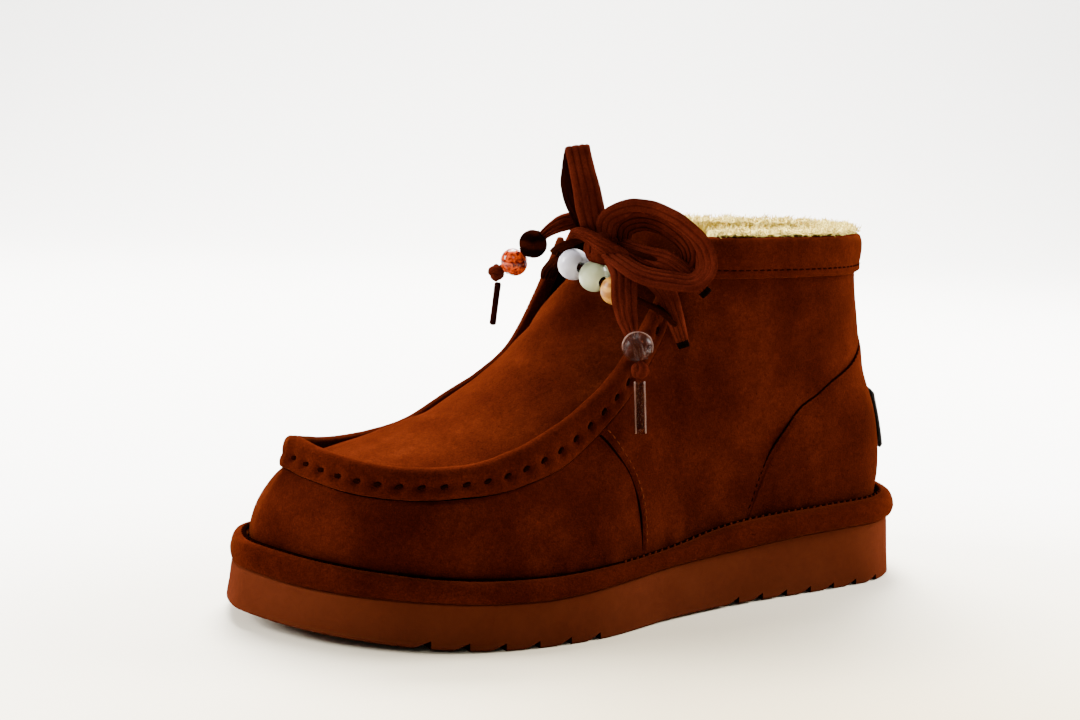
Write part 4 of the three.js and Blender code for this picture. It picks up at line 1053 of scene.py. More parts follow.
def bead_body(at, across, long, axis, bore=1.9, segments=44, square=0.84):
    """A round bead with its bore and softly rounded mouths."""
    axis = unit(axis)
    u = unit(np.cross(axis, [0.31, 0.17, 0.93]))
    v = np.cross(axis, u)
    profile = []
    for k in range(27):
        a = -math.pi / 2 + math.pi * k / 26
        profile.append((max(bore + 0.35, across / 2 * max(math.cos(a), 0) ** square), long / 2 * math.sin(a)))
    profile += [(bore, long / 2 - 0.35), (bore, 0), (bore, -long / 2 + 0.35)]
    rings = [[at + axis * h + (u * math.cos(b) + v * math.sin(b)) * r for r, h in profile]
             for b in np.linspace(0, 2 * math.pi, segments, False)]
    return tube(rings, closed=True)


def line_direction(line, at):
    i = int(np.argmin(np.linalg.norm(line - at, axis=1)))
    return tangents(line)[i]


crossing_line = even(spline(real(crossings[0]), False, 24), 200)
bead_pieces = {}
for name, (at, across, long, strand) in beads.items():
    at = real([at])[0]
    axis = line_direction(lace_paths[strand] if strand else crossing_line, at)
    bodies = [bead_body(at, across, long, axis, square=0.95 if name == "bead_clear" else 0.84)]
    first = len(bodies[0][1])
    # Painted highlight: a thin pale arc round the upper rim of the smoky bead.
    if name == "bead_clear":
        left = unit(np.cross(viewer, [0, 0, 1.0]))
        high = np.cross(left, viewer)
        arc = [at + (left * math.cos(q) + high * math.sin(q)) * across * 0.475
               for q in np.linspace(-0.25, math.pi + 0.35, 40)]
        arc = np.array(arc)
        out_from = unit(arc - at)
        swell = 0.10 + 0.20 * np.abs(np.sin(np.linspace(0, 2 * math.pi, 40)))
        bodies.append(tube([[q + (o * math.cos(w) + viewer * math.sin(w)) * r
                             for w in np.linspace(0, 2 * math.pi, 8, False)]
                            for q, o, r in zip(arc, out_from, swell)]))
    points, faces = join(bodies)
    kinds = [0 if k < first else 1 for k in range(len(faces))]
    piece = make(name + "_turned", points, faces, [bead_looks[name], glint][:len(bodies)], kinds,
                 slot=name.split("_")[1].replace("clear", "smoky") + " bead")
    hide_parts(name)
    bead_pieces[name] = piece


def overhand(at, size, axis, thick):
    """A small tight knot: a lace wound through itself."""
    axis = unit(axis)
    u = unit(np.cross(axis, [0.2, 0.5, 0.84]))
    v = np.cross(axis, u)
    t = np.linspace(0, 2 * math.pi, 97)[:-1]
    x = (np.sin(t) + 2 * np.sin(2 * t)) / 3
    y = (np.cos(t) - 2 * np.cos(2 * t)) / 3
    z = -np.sin(3 * t)
    line = at + np.outer(x * size * 0.72, u) + np.outer(y * size * 0.72, v) + np.outer(z * size * 0.5, axis)
    along = unit(np.roll(line, -1, 0) - np.roll(line, 1, 0))
    out = unit(line - at)
    across = unit(np.cross(out, along))
    up = np.cross(along, across)
    rings = [[line[i] + across[i] * math.cos(b) * thick * 0.75 + up[i] * math.sin(b) * thick * 0.5
              for b in np.linspace(0, 2 * math.pi, 12, False)] for i in range(len(line))]
    return tube(rings, closed=True)


knot_pieces = {}
for name, (at, size, strand) in end_knots.items():
    at = real([at])[0]
    axis = lace_paths[strand][-1] - lace_paths[strand][-4]
    tie = [overhand(at, size, axis, size * 0.78), ball_body(at, [size * 0.7, size * 0.7, size * 1.2], 20, 12)]
    points, faces = join(tie)
    piece = make(name + "_tied", points, faces, lace, slot="lace")
    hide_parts(name)
    knot_pieces[name] = piece

aglet_pieces = {}
for name, (start, end, across) in aglets.items():
    start, end = real([start, end])
    axis = end - start
    long = float(np.linalg.norm(axis))
    axis = axis / long
    u = unit(np.cross(axis, [0.9, 0.1, 0.3]))
    v = np.cross(axis, u)
    profile = [(0.0, 0.62), (0.02, 0.92), (0.05, 1.0), (0.3, 0.96), (0.6, 0.94), (0.9, 0.98), (0.96, 1.0),
               (0.99, 0.86), (1.0, 0.5)]
    rings = []
    for t in np.linspace(0, 1, 33):
        r = np.interp(t, [p[0] for p in profile], [p[1] for p in profile]) * across / 2
        rings.append([start + axis * long * t + (u * math.cos(b) + v * math.sin(b)) * r
                      for b in np.linspace(0, 2 * math.pi, 20, False)])
    bodies = [tube(rings)]
    looks, kinds = lace_dark_and_shade, None
    if name == "aglet_front":
        core = [start + axis * long * t for t in np.linspace(0.03, 0.9, 24)]
        bodies.append(tube([[q + (u * math.cos(b) + v * math.sin(b)) * 1.25
                             for b in np.linspace(0, 2 * math.pi, 12, False)]
                            for q in core]))
        # Painted highlight: two thin pale lines along the front sleeve's edges.
        edge_way = unit(np.cross(viewer, axis))
        for way in (1, -1):
            line = [start + axis * long * t + edge_way * way * across * 0.40 + viewer * 0.35
                    for t in np.linspace(0.01, 0.985, 24)]
            bodies.append(tube([[q + (u * math.cos(b) + v * math.sin(b)) * 0.26
                                 for b in np.linspace(0, 2 * math.pi, 8, False)]
                                for q in line]))
        looks = [film, lace_dark_and_shade, glint]
        kinds = [min(k, 2) for k, body in enumerate(bodies) for _ in body[1]]
    points, faces = join(bodies)
    piece = make(name + "_sleeve", points, faces, looks, kinds, slot="aglet")
    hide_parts(name)
    aglet_pieces[name] = piece

cord_facts = {
    "lace_loop_up": ("object", 0.009, []),
    "lace_loop_side": ("object", 0.0095, []),
    "lace_end_left": ("knot", 0.006, [bead_pieces["bead_dark"], bead_pieces["bead_amber"],
                                      knot_pieces["end_knot_left"],
                                      aglet_pieces["aglet_left"]]),
    "lace_end_front": ("knot", 0.0065, [bead_pieces["bead_clear"], knot_pieces["end_knot_front"],
                                        aglet_pieces["aglet_front"]]),
    "lace_end_lower": ("bare", 0.006, []),
    "lace_end_upper": ("bare", 0.0055, []),
}
for name, (far_end, diameter, with_pieces) in cord_facts.items():
    line = settle(lace_paths[name])

# Outsole with its saw-tooth tread
places = np.concatenate([np.linspace(0, 1, 181)[:-1], -np.linspace(1, 0, 181)[:-1]])
places = np.where(np.abs(places) >= 1, np.sign(places) * heel_end, places)


def slab_body(rings):
    """A solid between closed rings one above the other, capped by quads from one side to the other."""
    rings = np.asarray(rings, float)
    count, ring = rings.shape[:2]
    points = rings.reshape(-1, 3)
    faces = grid_faces(count, ring, False, True)
    half = ring // 2
    for base, flip in ((0, False), ((count - 1) * ring, True)):
        for j in range(half):
            quad = [base + j, base + j + 1, base + ring - j - 1, base + (ring - j) % ring]
            quad = [v for i, v in enumerate(quad) if v not in quad[:i]]
            if len(quad) > 2:
                faces.append(tuple(reversed(quad)) if flip else tuple(quad))
    return points, outward(points, faces)


rings = [
    edge_ring(places, lambda x: sole_flare - 0.6, ground_z),
    edge_ring(places, lambda x: sole_flare, lambda x: ground_z(x) + 0.7),
    edge_ring(places, lambda x: sole_flare * 0.9, lambda x: ground_z(x) + heel_thickness * 0.1),
    edge_ring(places, lambda x: sole_flare * 0.55, lambda x: ground_z(x) * 0.6 + outsole_top(x) * 0.4),
    edge_ring(places, lambda x: sole_flare * 0.2, lambda x: ground_z(x) * 0.2 + outsole_top(x) * 0.8),
    edge_ring(places, lambda x: 0.0, lambda x: outsole_top(x) - 0.5),
    edge_ring(places, lambda x: -0.6, outsole_top),
]
points, faces = slab_body(rings)
sole = make("sole_body", points, faces, rubber, slot="sole rubber", sharp=35)
teeth = []
for start, count in tread_sets:
    for k in range(count):
        x = start * sole_length + k * tread_pitch
        base = float(ground_z(np.array(x + tread_length / 2)))
        ring = [(x, -4), (x, tread_depth), (x + tread_length, 0), (x + tread_length, -4)]
        teeth.append(tube([[(px, y, base + pz) for px, pz in ring] for y in (-sole_width, sole_width)]))
points, faces = join(teeth)
cutter_mesh = bpy.data.meshes.new("tread_cutter")
cutter_mesh.from_pydata(settle(points).tolist(), [], faces)
cutter = bpy.data.objects.new("tread_cutter", cutter_mesh)
bpy.context.scene.collection.objects.link(cutter)
cut = sole.modifiers.new("tread", "BOOLEAN")
cut.operation = "DIFFERENCE"
cut.solver = "EXACT"
cut.object = cutter
graph = bpy.context.evaluated_depsgraph_get()
graph.update()
cut_mesh = bpy.data.meshes.new_from_object(sole.evaluated_get(graph))
sole.modifiers.clear()
old = sole.data
sole.data = cut_mesh
cut_mesh.name = "sole_body"
bpy.data.meshes.remove(old)
bpy.data.objects.remove(cutter)
bpy.data.meshes.remove(cutter_mesh)
sole.data.set_sharp_from_angle(angle=math.radians(35))
# Painted shade: faces inside the tread notches take the near-black rubber copy, standing in for the shade there.
sole.data.materials.append(rubber_painted_shade)
for face in sole.data.polygons:
    at = np.array(face.center) * 1000 - origin
    height = at[2] - float(ground_z(np.array(at[0])))
    if 0.05 < height < tread_depth + 0.2 and abs(face.normal.y) < 0.25 and 15 < at[0] < 245:
        face.material_index = 1
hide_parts("outsole")

# Wrapped band
bulge = lambda x: side_at(x)[..., 5] * band_bulge
tall = lambda x: side_at(x)[..., 4] * band_height
lip = lambda x: -inset_at(x) + lip_clearance
level = lambda share: (lambda x: outsole_top(x) + gap * 0.3 + tall(x) * share)
rings = [edge_ring(places, lambda x: lip(x), tray_z), edge_ring(places, lambda x: -2.2, level(0.0))]
for a in np.linspace(-1.35, 1.25, 17):
    rings.append(edge_ring(
        places,
        lambda x, a=a: (bulge(x) + 0.4) * (max(math.cos(a), 0) ** 0.62) - 0.4 + min(0, -a - 0.2) * 0.9,
        level(0.5 + 0.47 * math.sin(a * 1.13) if abs(a) < 1.39 else 0.98)))
rings += [
    edge_ring(places, lambda x: lip(x) * 0.55, lambda x: band_top(x) - 0.1),
    edge_ring(places, lambda x: lip(x) * 0.8, lambda x: band_top(x) - 0.7),
    edge_ring(places, lambda x: lip(x), lambda x: band_top(x) - 1.6),
]
rings = np.asarray(rings)
flat = rings.reshape(-1, 3)
at, out = edge_at(places)
out3 = np.column_stack([out, np.zeros(len(out))])
shift = wobble(flat, 16.0, 0.35, 7.7).reshape(rings.shape[:2])
shift += wobble(flat, 5.0, 0.14, 2.2).reshape(rings.shape[:2])
rings[1:-1] += out3[None] * shift[1:-1, :, None]
points = rings.reshape(-1, 3)
faces = grid_faces(len(rings), len(places), True, True)
band = make("wrap_band_rolled", points, outward(points, faces), suede_rim, slot="band suede")
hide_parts("wrap_band")

# Upper wall
one = np.concatenate([np.arange(0, 8.6, 0.1), np.linspace(8.62, 9.0, 13), np.arange(9.1, 13.4, 0.1),
                      np.linspace(13.42, 13.7, 9), np.arange(13.8, 19.01, 0.1)])
wall_places = np.concatenate([one[:-1], [19.0], -one[1:-1][::-1]])
wall_shares = np.concatenate([np.linspace(0, 0.33, 20), np.linspace(0.34, 0.38, 7), np.linspace(0.39, 1, 42)])
P, S = np.meshgrid(wall_places, wall_shares, indexing="ij")
outer, normals = wall_at(P, S)


def near_line(points, line):
    """Distance from each point to a line of points."""
    best = np.full(points.shape[:-1], 1e9)
    for q in line:
        best = np.minimum(best, np.linalg.norm(points - q, axis=-1))
    return best


# Soft creases, each a line of places and shares with its width and depth in millimetres
creases = [
    ([(10.4, 0.42), (11.4, 0.34), (12.6, 0.30), (14.0, 0.34)], 7.0, -0.9),
    ([(9.8, 0.30), (10.6, 0.22), (11.8, 0.17)], 6.0, -0.6),
    ([(-10.4, 0.42), (-11.4, 0.34), (-12.6, 0.30), (-14.0, 0.34)], 7.0, -0.9),
    ([(15.0, 0.62), (16.2, 0.56), (17.6, 0.54)], 9.0, -0.7),
    ([(-15.0, 0.62), (-16.2, 0.56), (-17.6, 0.54)], 9.0, -0.7),
    ([(5.0, 0.45), (6.0, 0.5), (7.0, 0.6)], 6.0, -0.6),
    ([(-5.0, 0.45), (-6.0, 0.5), (-7.0, 0.6)], 6.0, -0.6),
    ([(2.0, 0.5), (3.2, 0.46), (4.2, 0.5)], 7.0, 0.5),
    ([(13.0, 0.78), (14.4, 0.7), (15.4, 0.74)], 8.0, 0.6),
]
relief = np.zeros(P.shape)
for line, wide, depth in creases:
    line = even(spline(np.asarray(line, float), False, 12), 30)
    curve = loop_point(line[:, 0], line[:, 1])
    relief += depth * np.exp(-(near_line(outer, curve) / wide) ** 2)
flat = outer.reshape(-1, 3)
relief += wobble(flat, 26.0, 0.75, 1.3).reshape(P.shape)
relief += wobble(flat, 9.0, 0.22, 5.9).reshape(P.shape)
pucker = wobble(np.column_stack([outer[:, 0].reshape(-1, 3)[:, :2], np.zeros(len(P))]), 6.5, 0.7, 4.4)
relief += pucker[:, None] * np.exp(-((S - 0.05) / 0.09) ** 2)
fade = smooth((1 - S) / 0.08) * smooth(S / 0.02)
outer = outer + normals * (relief * fade)[..., None]
inner_shares = np.array([1.0, 0.9, 0.78, 0.64, 0.5, 0.36, 0.22, 0.1, 0.0])
PI, SI = np.meshgrid(wall_places, inner_shares, indexing="ij")
inner = wall_at(PI, SI, -upper_wall)[0]
rings = np.concatenate([outer, inner], axis=1)
points = rings.reshape(-1, 3)
faces = grid_faces(rings.shape[0], rings.shape[1], True, True)
count = rings.shape[1]
# Inside faces: fleece towards the heel; towards the toe the near-black suede copy paints the shade inside the
# boot.
kinds = []
for i in range(len(faces)):
    inside = (i % count) >= len(wall_shares)
    kinds.append(0 if not inside else 1 if abs(wall_places[i // count]) > 12.7 else 2)
upper = make("upper_suede", points, faces, [suede, fleece, suede_painted_shade], kinds, slot="upper suede")
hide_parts("upper")


# Moc seam rim
def rim_frame(place):
    place = np.asarray(place, float)
    side = np.where(place >= 0, 1.0, -1.0)
    r = row_at(rim_rows, np.minimum(np.abs(place), rim_last_row))
    low = loop_point(place, 1.0)
    n = wall_normal(place, 1.0)
    out = unit(np.stack([n[..., 0], n[..., 1], n[..., 2] * 0.3], -1))
    top = low + np.stack([r[..., 0], side * r[..., 1], r[..., 2]], -1) * rim_height
    return low, top, out


rim_places = np.linspace(-rim_last_row, rim_last_row, 401)
low, top, out = rim_frame(rim_places)
axis = top - low
tall_rim = np.linalg.norm(axis, axis=1, keepdims=True)
axis = axis / tall_rim
o = rim_proud
i = rim_proud - rim_thickness
rim_profile = [
    (0.02, i * 0.9), (0.02, i * 0.3), (0.02, o * 0.35), (0.035, o * 0.75), (0.07, o * 1.0),
    (0.14, o * 1.15), (0.22, o * 1.1),
    (0.30, o * 0.9), (0.36, o * 0.62), (0.41, o * 0.55), (0.46, o * 0.66), (0.53, o * 0.95),
    (0.62, o * 1.15), (0.72, o * 1.18),
    (0.81, o * 1.0), (0.89, o * 0.62), (0.95, o * 0.1), (0.985, -0.7), (1.0, -1.6), (0.985, -2.5),
    (0.94, i * 0.92),
    (0.84, i), (0.66, i), (0.48, i), (0.3, i), (0.14, i),
]
rings = np.stack([low + axis * tall_rim * up + out * off for up, off in rim_profile], 1)
# Stitch dents along the rim
stitch_line = low + axis * tall_rim * stitch_up + out * o * 0.75
far = np.concatenate([[0], np.cumsum(np.linalg.norm(np.diff(stitch_line, axis=0), axis=1))])
rim_pitch = 7.4
stitch_far = np.arange(rim_pitch * 0.6, far[-1], rim_pitch)
phase = np.abs((far[:, None] - stitch_far[None]))
dent = np.exp(-(phase.min(1) / 1.7) ** 2)
swell = 1 - dent
for k, (up, off) in enumerate(rim_profile):
    if off > -0.5 and 0.03 < up < 0.9:
        pull = math.exp(-((up - stitch_up) / 0.12) ** 2)
        rings[:, k] += out * (-dent_depth * dent * pull)[:, None]
        rings[:, k] += out * (swell_height * swell * math.exp(-((up - 0.38) / 0.22) ** 2))[:, None]
flat = rings.reshape(-1, 3)
shift = wobble(flat, 14.0, 0.3, 9.1) + wobble(flat, 4.5, 0.12, 6.3)
centre_line = (low + top) / 2
flat = flat + unit(flat - np.repeat(centre_line, len(rim_profile), 0)) * shift[:, None]
points, faces = tube(flat.reshape(rings.shape))
rim = make("moc_rim_rolled", points, faces, suede_rim, slot="rim suede")
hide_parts("moc_rim")
# The rim stitches are near-black: partly the thread's own colour, partly painted shade of the stitch holes.
parts = []
for d in stitch_far:
    at = np.array([np.interp(d, far, stitch_line[:, c]) for c in range(3)])
    ahead = np.array([np.interp(min(d + 1, far[-1]), far, stitch_line[:, c]) for c in range(3)])
    n = unit(np.array([np.interp(d, far, out[:, c]) for c in range(3)]))
    up = unit(np.array([np.interp(d, far, axis[:, c]) for c in range(3)]))
    along = unit(unit(ahead - at) + up * 0.35)
    along = unit(along - n * np.dot(along, n))
    parts.append(round_bar(at - n * 0.62, along, n, 3.0, 1.4, 1.6))
points, faces = join(parts)
make("rim_stitches", points, faces, thread, slot="rim suede")


# Moc plug and tongue
def inside_edge(place, depth=0.0):
    place = np.asarray(place, float)
    side = np.where(place >= 0, 1.0, -1.0)
    row = np.abs(place)
    low, top, out = rim_frame(side * np.minimum(row, tuck_row))
    under = low + (top - low) * 0.5 + out * (rim_proud - rim_thickness - gap)
    turn = smooth((row - tuck_row + 0.6) / 1.0)
    back = np.minimum(row, 12) + 0.75 * turn
    behind = at_height(side * back, loop_point(place, 1.0)[..., 2] - 0.6, -upper_wall - 1.2)
    return under * (1 - turn)[..., None] + behind * turn[..., None] - out * depth


def plug_point(row, across):
    row, across = np.broadcast_arrays(np.asarray(row, float), np.asarray(across, float))
    r = table_at(plug_rows, row)
    outer_edge = inside_edge(row)
    inner_edge = inside_edge(-row)
    ridge = np.stack([r[..., 1] * sole_length, r[..., 2] * sole_width, r[..., 3] * collar_height], -1)
    middle = (outer_edge + inner_edge) / 2
    dome = np.maximum(0, 1 - np.abs(across) ** r[..., 4]) ** r[..., 5]
    a = across[..., None]
    return outer_edge * (1 + a) / 2 + inner_edge * (1 - a) / 2 + (ridge - middle) * dome[..., None]


rows = np.linspace(0.6, 12, 150)
across = np.sin(np.linspace(-math.pi / 2, math.pi / 2, 75))
R, A = np.meshgrid(rows, across, indexing="ij")
top_side = plug_point(R, A)
du = np.gradient(top_side, axis=0)
dv = np.gradient(top_side, axis=1)
n = unit(np.cross(dv, du))
n = np.where((n[..., 2:3] < 0), -n, n)
plug_creases = [
    ([(8.6, -0.5), (8.9, 0.0), (8.8, 0.5)], 5.0, -0.7),
    ([(6.9, -0.3), (7.2, 0.25), (7.0, 0.7)], 6.0, -0.5),
    ([(4.6, -0.6), (4.9, 0.0), (4.8, 0.6)], 7.0, -0.5),
    ([(9.9, -0.6), (10.2, 0.0), (10.0, 0.6)], 4.5, -0.8),
]
relief = np.zeros(R.shape)
for line, wide, depth in plug_creases:
    line = even(spline(np.asarray(line, float), False, 12), 30)
    relief += depth * np.exp(-(near_line(top_side, plug_point(line[:, 0], line[:, 1])) / wide) ** 2)
flat = top_side.reshape(-1, 3)
relief += wobble(flat, 18.0, 0.7, 8.4).reshape(R.shape) + wobble(flat, 7.0, 0.2, 3.3).reshape(R.shape)
relief *= smooth((1 - np.abs(A)) / 0.12)
top_side = top_side + n * relief[..., None]
under = plug_point(R, A * 0.985) - n * plug_thickness
rings = np.concatenate([top_side, under[:, ::-1]], axis=1)
points, faces = tube(rings)
plug = make("plug_tongue_suede", points, faces, suede_plug, slot="plug suede")
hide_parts("plug_tongue")

# Collar binding
binding_places = np.concatenate([np.linspace(collar_row, heel_row, 171),
                                 -np.linspace(heel_row, collar_row, 171)[1:]])
skin_out = seam_step / 2 + gap
b = binding_thickness
low_edge = -binding_height + b
binding_section = [
    (skin_out, low_edge), (skin_out + b * 0.5, low_edge - 0.1), (skin_out + b * 0.85, low_edge + 0.25),
    (skin_out + b, low_edge + 0.9),
    (skin_out + b * 0.95, low_edge + 2.2), (skin_out + b * 0.78, low_edge + 2.9),
    (skin_out + b, low_edge + 3.8),
    (skin_out + b * 1.25, low_edge * 0.55), (skin_out + b * 1.3, low_edge * 0.35),
    (skin_out + b * 1.15, low_edge * 0.16),
    (skin_out + b * 0.85, -0.6), (skin_out + b * 0.3, gap + b * 0.5), (skin_out - 0.5, gap + b * 0.9),
    (-upper_wall * 0.5, gap + b),
    (-upper_wall, gap + b), (-upper_wall, gap), (skin_out, gap), (skin_out, low_edge * 0.3),
    (skin_out, low_edge * 0.7),
]
rings = []
for depth, height in binding_section:
    ring = at_height(binding_places, collar_height + min(height, -0.5), depth)
    ring[:, 2] = collar_height + height
    rings.append(ring)
rings = np.stack(rings, 1)
flat = rings.reshape(-1, 3)
middle = np.repeat(rings.mean(1), rings.shape[1], 0)
sideways = flat - middle
sideways[:, 2] *= 0.3
shift = wobble(flat, 22.0, 0.4, 2.7) + wobble(flat, 6.0, 0.14, 4.8)
keep = np.tile(np.array([1.0] * 14 + [0.0] * 5), rings.shape[0])
flat = flat + unit(sideways) * (shift * keep)[:, None]
points, faces = tube(flat.reshape(rings.shape))
binding = make("collar_binding_suede", points, faces, suede_rim, slot="binding suede")
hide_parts("collar_binding")
sewn = np.linspace(collar_row + 0.05, heel_row, 240)
sewn = np.concatenate([sewn, -sewn[::-1][1:]])
line = at_height(sewn, collar_height + low_edge + 2.7, skin_out + b * 0.8)
n = wall_normal(sewn, 0.9)
stitch_row("binding_stitches", line, n, 2.3, 3.0, 0.62, 0.6, thread, "binding suede", 0.05)

# Painted seam shade lines and stitches on the quarters and the counter
for side in (1, -1):
    tag = "outer" if side > 0 else "inner"
    share = np.linspace(0.05, 0.985, 160)
    line, n = wall_at(side * (vamp_seam_row - 0.05) * np.ones(160), share)
    seam_line(f"vamp_seam_{tag}", line - n * 0.1, 0.9, painted_seam_shade, "upper suede")
    line, n = wall_at(side * (vamp_seam_row + 0.13) * np.ones(160), share)
    stitch_row(f"vamp_stitches_{tag}", line, n, 1.7, 2.5, 0.55, 0.55, thread_light, "upper suede", 0.1)
    line, n = wall_at(side * np.linspace(13.62, 19, 200), 0.385 * np.ones(200))
    seam_line(f"counter_seam_{tag}", line - n * 0.28, 0.75, painted_seam_shade, "upper suede")
    stitch_row(f"counter_stitches_{tag}", line, n, 1.7, 2.6, 0.7, 0.6, thread, "upper suede", 0.05)

# Painted shade: a dark line in the channel where the wall meets the band, and its stitches
around = np.concatenate([np.linspace(0, 19, 520), -np.linspace(19, 0, 520)[1:-1]])
r = np.where((around >= 0)[:, None], row_at(outer_rows, np.abs(around)), row_at(inner_rows, np.abs(around)))
along = np.where(around >= 0, r[:, 0], -r[:, 0])
at, out = edge_at(np.clip(along, -heel_end, heel_end))
x = at[:, 0]
line = np.column_stack([at + out * (lip(x) * 0.86)[:, None], band_top(x) - 0.55])
seam_line("band_channel_shade", line, 1.5, painted_seam_shade, "band suede")
line = np.column_stack([at + out * (lip(x) * 0.70)[:, None], band_top(x) - 0.2])
n = unit(np.column_stack([out * 0.5, np.ones(len(x))]))
back_part = np.abs(around) > band_stitches_from
stitch_row("band_stitches", line[back_part], n[back_part], 2.3, 3.1, 0.75, 0.7, suede_rim, "band suede",
           0.1, 0.5)
front_part = np.roll(np.abs(around) <= toe_stitches_to, 500)
line, n = np.roll(line, 500, 0), np.roll(n, 500, 0)
stitch_row("toe_stitches", line[front_part], n[front_part], 1.8, 3.6, 0.6, 0.5, thread, "band suede", 0.0)

# Insole
inset = lambda x: -inset_at(x) - upper_wall - 1.2
rings = [
    edge_ring(places, inset, lambda x: tray_z(x) + gap),
    edge_ring(places, inset, lambda x: tray_z(x) + gap + insole_thickness * 0.7),
    edge_ring(places, lambda x: inset(x) - 1.5, lambda x: tray_z(x) + gap + insole_thickness),
]
points, faces = slab_body(rings)
insole = make("insole_fleece", points, faces, fleece, slot="insole fleece")
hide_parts("insole")

# Heel patch, left bare
label_places = upper_last - np.linspace(1, 0, 21) * label_width / row_spacing
label_places = np.concatenate([label_places, -label_places[:-1][::-1]])
heights = np.linspace(-0.5, 0.5, 19)
ring_in, ring_out = [], []
edge_soft = 1.6
for p_i, place in enumerate(label_places):
    u = abs(p_i / (len(label_places) - 1) * 2 - 1)
    past = max(0, (u * label_width / 2 - (label_width / 2 - edge_soft)) / edge_soft)
    corner = math.sqrt(max(0, 1 - past ** 2))
    z = label_middle + heights * (label_height - 2 * edge_soft * (1 - corner))
    near = seam_step * 1.3 + gap
    edge = np.minimum(1, (0.5 - np.abs(heights)) * label_height + 0.35) * (0.4 + 0.6 * corner)
    ring_in.append(at_height(place * np.ones(19), z, near * np.ones(19)))
    ring_out.append(at_height(place * np.ones(19), z, near + label_thickness * edge))
rings = np.concatenate([np.asarray(ring_in), np.asarray(ring_out)[:, ::-1]], 1)
points, faces = tube(rings)
label = make("heel_patch", points, faces, patch, slot="dark patch")
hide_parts("heel_label")

# Fleece lining: a curly pile that stands over the collar's edge and lines the shaft
random.seed(7)
fleece_places = np.concatenate([np.linspace(12.6, 19, 211), -np.linspace(19, 12.6, 211)[1:]])
face = -upper_wall - gap - 0.2
deep = face - fleece_thickness
over = gap + b + gap
section = [
    (face, -34), (face, -20), (face, -9), (face, over), (-upper_wall * 0.6, over + 0.3),
    (-upper_wall * 0.25, over + pile_rise * 0.22),
    (-upper_wall * 0.35, over + pile_rise * 0.5), (-upper_wall * 0.8, over + pile_rise * 0.78),
    (-upper_wall * 1.5, over + pile_rise * 0.95),
    (-upper_wall * 2.2, over + pile_rise), (deep * 0.78, over + pile_rise * 0.96),
    (deep * 0.93, over + pile_rise * 0.78), (deep - 0.6, over + pile_rise * 0.45),
    (deep - 1.0, over), (deep - 1.0, -3), (deep - 0.9, -7), (deep - 0.8, -12), (deep - 0.8, -18),
    (deep - 0.6, -25), (deep, -34),
]
dense = spline(section, False, 4)
rings = []
for depth, height in dense:
    ring = at_height(fleece_places, collar_height + min(height, -0.5), depth)
    ring[:, 2] = collar_height + height
    rings.append(ring)
rings = np.stack(rings, 1)
ends = smooth((np.abs(np.abs(fleece_places) - 12.6) / 0.7))
centre_ring = rings.mean(1, keepdims=True)
flat = rings.reshape(-1, 3)
nu = np.gradient(rings, axis=0)
nv = np.gradient(rings, axis=1)
n = unit(np.cross(nu, nv)).reshape(-1, 3)
facing = np.einsum("ij,ij->i", n, (rings - centre_ring).reshape(-1, 3))
n = np.where(facing[:, None] < 0, -n, n)
clump = wobble(flat, 4.2, 1.5, 0.0) + wobble(flat, 1.9, 0.8, 5.0)
shown = np.tile((np.arange(len(dense)) > 11).astype(float), len(fleece_places))
fleece_points = flat + n * (clump * shown)[:, None]
points, faces = tube(fleece_points.reshape(rings.shape))
pile = make("fleece_pile", points, faces, fleece, slot="fleece")
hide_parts("fleece_lining")

# Short curls on the fleece
count = len(dense)
index = [i for i in range(len(flat)) if (i % count) > 13]
tufts = []
for _ in range(curl_count):
    i = random.choice(index)
    base = fleece_points[i] + np.array([random.uniform(-0.8, 0.8) for _ in range(3)])
    up = unit(n[i] + np.array([random.uniform(-0.7, 0.7) for _ in range(3)]))
    side = unit(np.cross(up, [random.uniform(-1, 1) for _ in range(3)] + np.array([0.01, 0, 0])))
    long = random.uniform(0.9, 2.3)
    bend = random.uniform(-1.2, 1.2)
    ring_list = []
    for t in (0.0, 0.4, 0.75, 1.0):
        at = base + up * long * t * (1 - 0.25 * t) + side * bend * t * t * 1.6
        r = 0.30 * (1 - t * 0.8)
        w = np.cross(up, side)
        ring_list.append([at + side * r * math.cos(q) + w * r * math.sin(q) for q in (0, 2.09, 4.19)])
    tufts.append(ring_list)
rings = np.asarray(tufts)
base_faces = grid_faces(4, 3, False, True) + [(11, 10, 9)]
points = rings.reshape(-1, 3)
faces = [tuple(v + k * 12 for v in f) for k in range(len(tufts)) for f in base_faces]
make("fleece_curls", points, faces, fleece, slot="fleece")

# Floor, backdrop and lights
floor_with_painted_shadow, nodes, links, shader = new_material("floor")
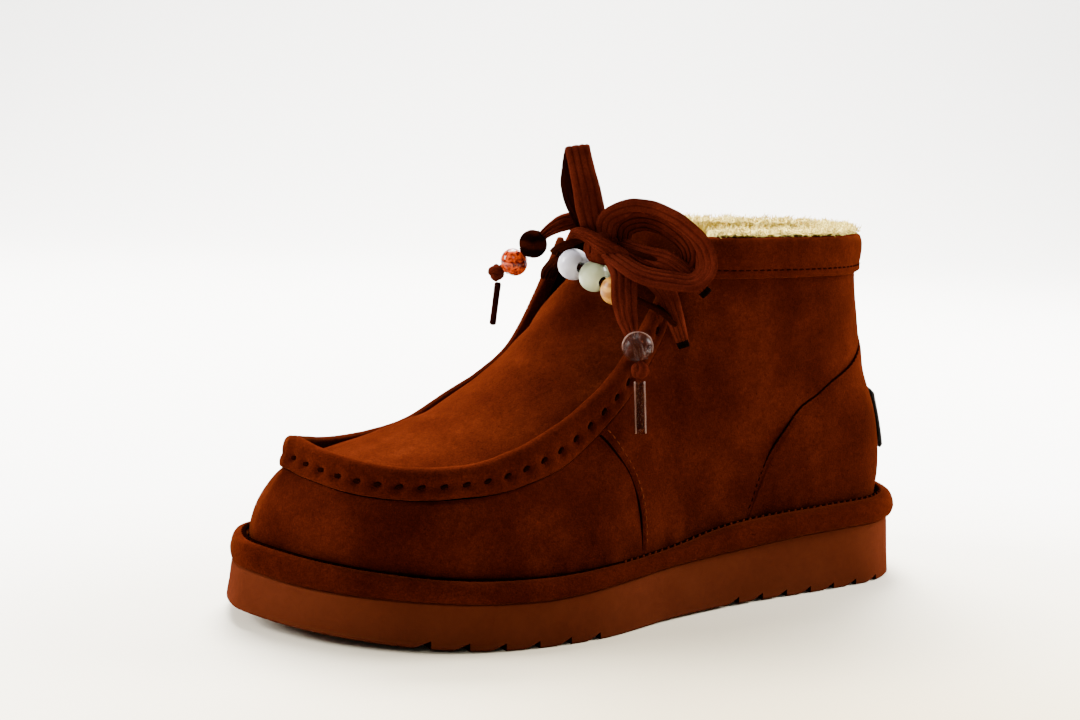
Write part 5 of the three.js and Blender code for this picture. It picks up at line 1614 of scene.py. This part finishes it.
# Painted shadow and warm bounce: the floor darkens and warms towards a spot in front of the boot.
painted_shadow_distance = nodes.new("ShaderNodeVectorMath")
painted_shadow_distance.operation = "DISTANCE"
painted_shadow_distance.inputs[1].default_value = (0.05, 0.22, 0.0)
links.new(object_place(nodes), painted_shadow_distance.inputs[0])
links.new(ramp_node(nodes, links, painted_shadow_distance.outputs["Value"],
                    [(0.05, (0.50, 0.40, 0.22)), (0.20, (0.66, 0.60, 0.47)), (0.42, (0.80, 0.785, 0.755))]),
          shader.inputs["Base Color"])
shader.inputs["Roughness"].default_value = 0.7
shader.inputs["Specular IOR Level"].default_value = 0.2
profile = [(-6, 0), (1.4, 0)] + [(1.4 + 1.2 * math.sin(a), 1.2 - 1.2 * math.cos(a))
                                 for a in np.linspace(0.1, math.pi / 2, 14)]
profile += [(2.6, 5.0)]
back = -camera_ahead[:2] / np.linalg.norm(camera_ahead[:2])
side_dir = np.array([-back[1], back[0]])
verts, faces = [], []
for d, h in profile:
    for w in (-7, 7):
        verts.append((-back[0] * d + side_dir[0] * w, -back[1] * d + side_dir[1] * w, h))
for k in range(len(profile) - 1):
    faces.append((2 * k, 2 * k + 1, 2 * k + 3, 2 * k + 2))
floor_mesh = bpy.data.meshes.new("floor")
floor_mesh.from_pydata(verts, [], faces)
floor_mesh.polygons.foreach_set("use_smooth", [True] * len(floor_mesh.polygons))
floor_mesh.materials.append(floor_with_painted_shadow)
floor = bpy.data.objects.new("floor", floor_mesh)
bpy.context.scene.collection.objects.link(floor)


def area_light(name, at, target, size, energy, colour=(1, 1, 1)):
    data = bpy.data.lights.new(name, "AREA")
    data.shape = "RECTANGLE"
    data.size, data.size_y = size
    data.energy = energy
    data.color = colour
    obj = bpy.data.objects.new(name, data)
    obj.location = at
    obj.rotation_euler = (Vector(target) - Vector(at)).to_track_quat("-Z", "Y").to_euler()
    bpy.context.scene.collection.objects.link(obj)


area_light("top", (-0.2, -0.95, 1.9), (0, 0, 0), (1.2, 1.2), 200, (1.0, 0.995, 0.985))
area_light("back", (-0.45, -0.80, 1.30), (0, 0, 0.05), (0.6, 0.5), 80, (1.0, 0.985, 0.96))
area_light("left", (1.20, -0.75, 0.70), (0, 0, 0.05), (0.5, 0.6), 70, (1.0, 0.98, 0.95))
area_light("right", (-1.25, 0.25, 0.75), (0, 0, 0.08), (0.5, 0.6), 80, (1.0, 0.98, 0.95))
area_light("front", (0.9, 1.3, 1.9), (0, 0, 0.05), (0.8, 0.8), 16, (1.0, 0.99, 0.97))
area_light("backdrop", (-1.0, -1.4, 2.3), (-1.2, -2.4, 0.6), (3.0, 0.8), 220, (1.0, 1.0, 1.0))
world = bpy.data.worlds.new("studio")
bpy.context.scene.world = world
world.use_nodes = True
world.node_tree.nodes["Background"].inputs["Color"].default_value = (0.97, 0.98, 1.0, 1)
world.node_tree.nodes["Background"].inputs["Strength"].default_value = 0.15
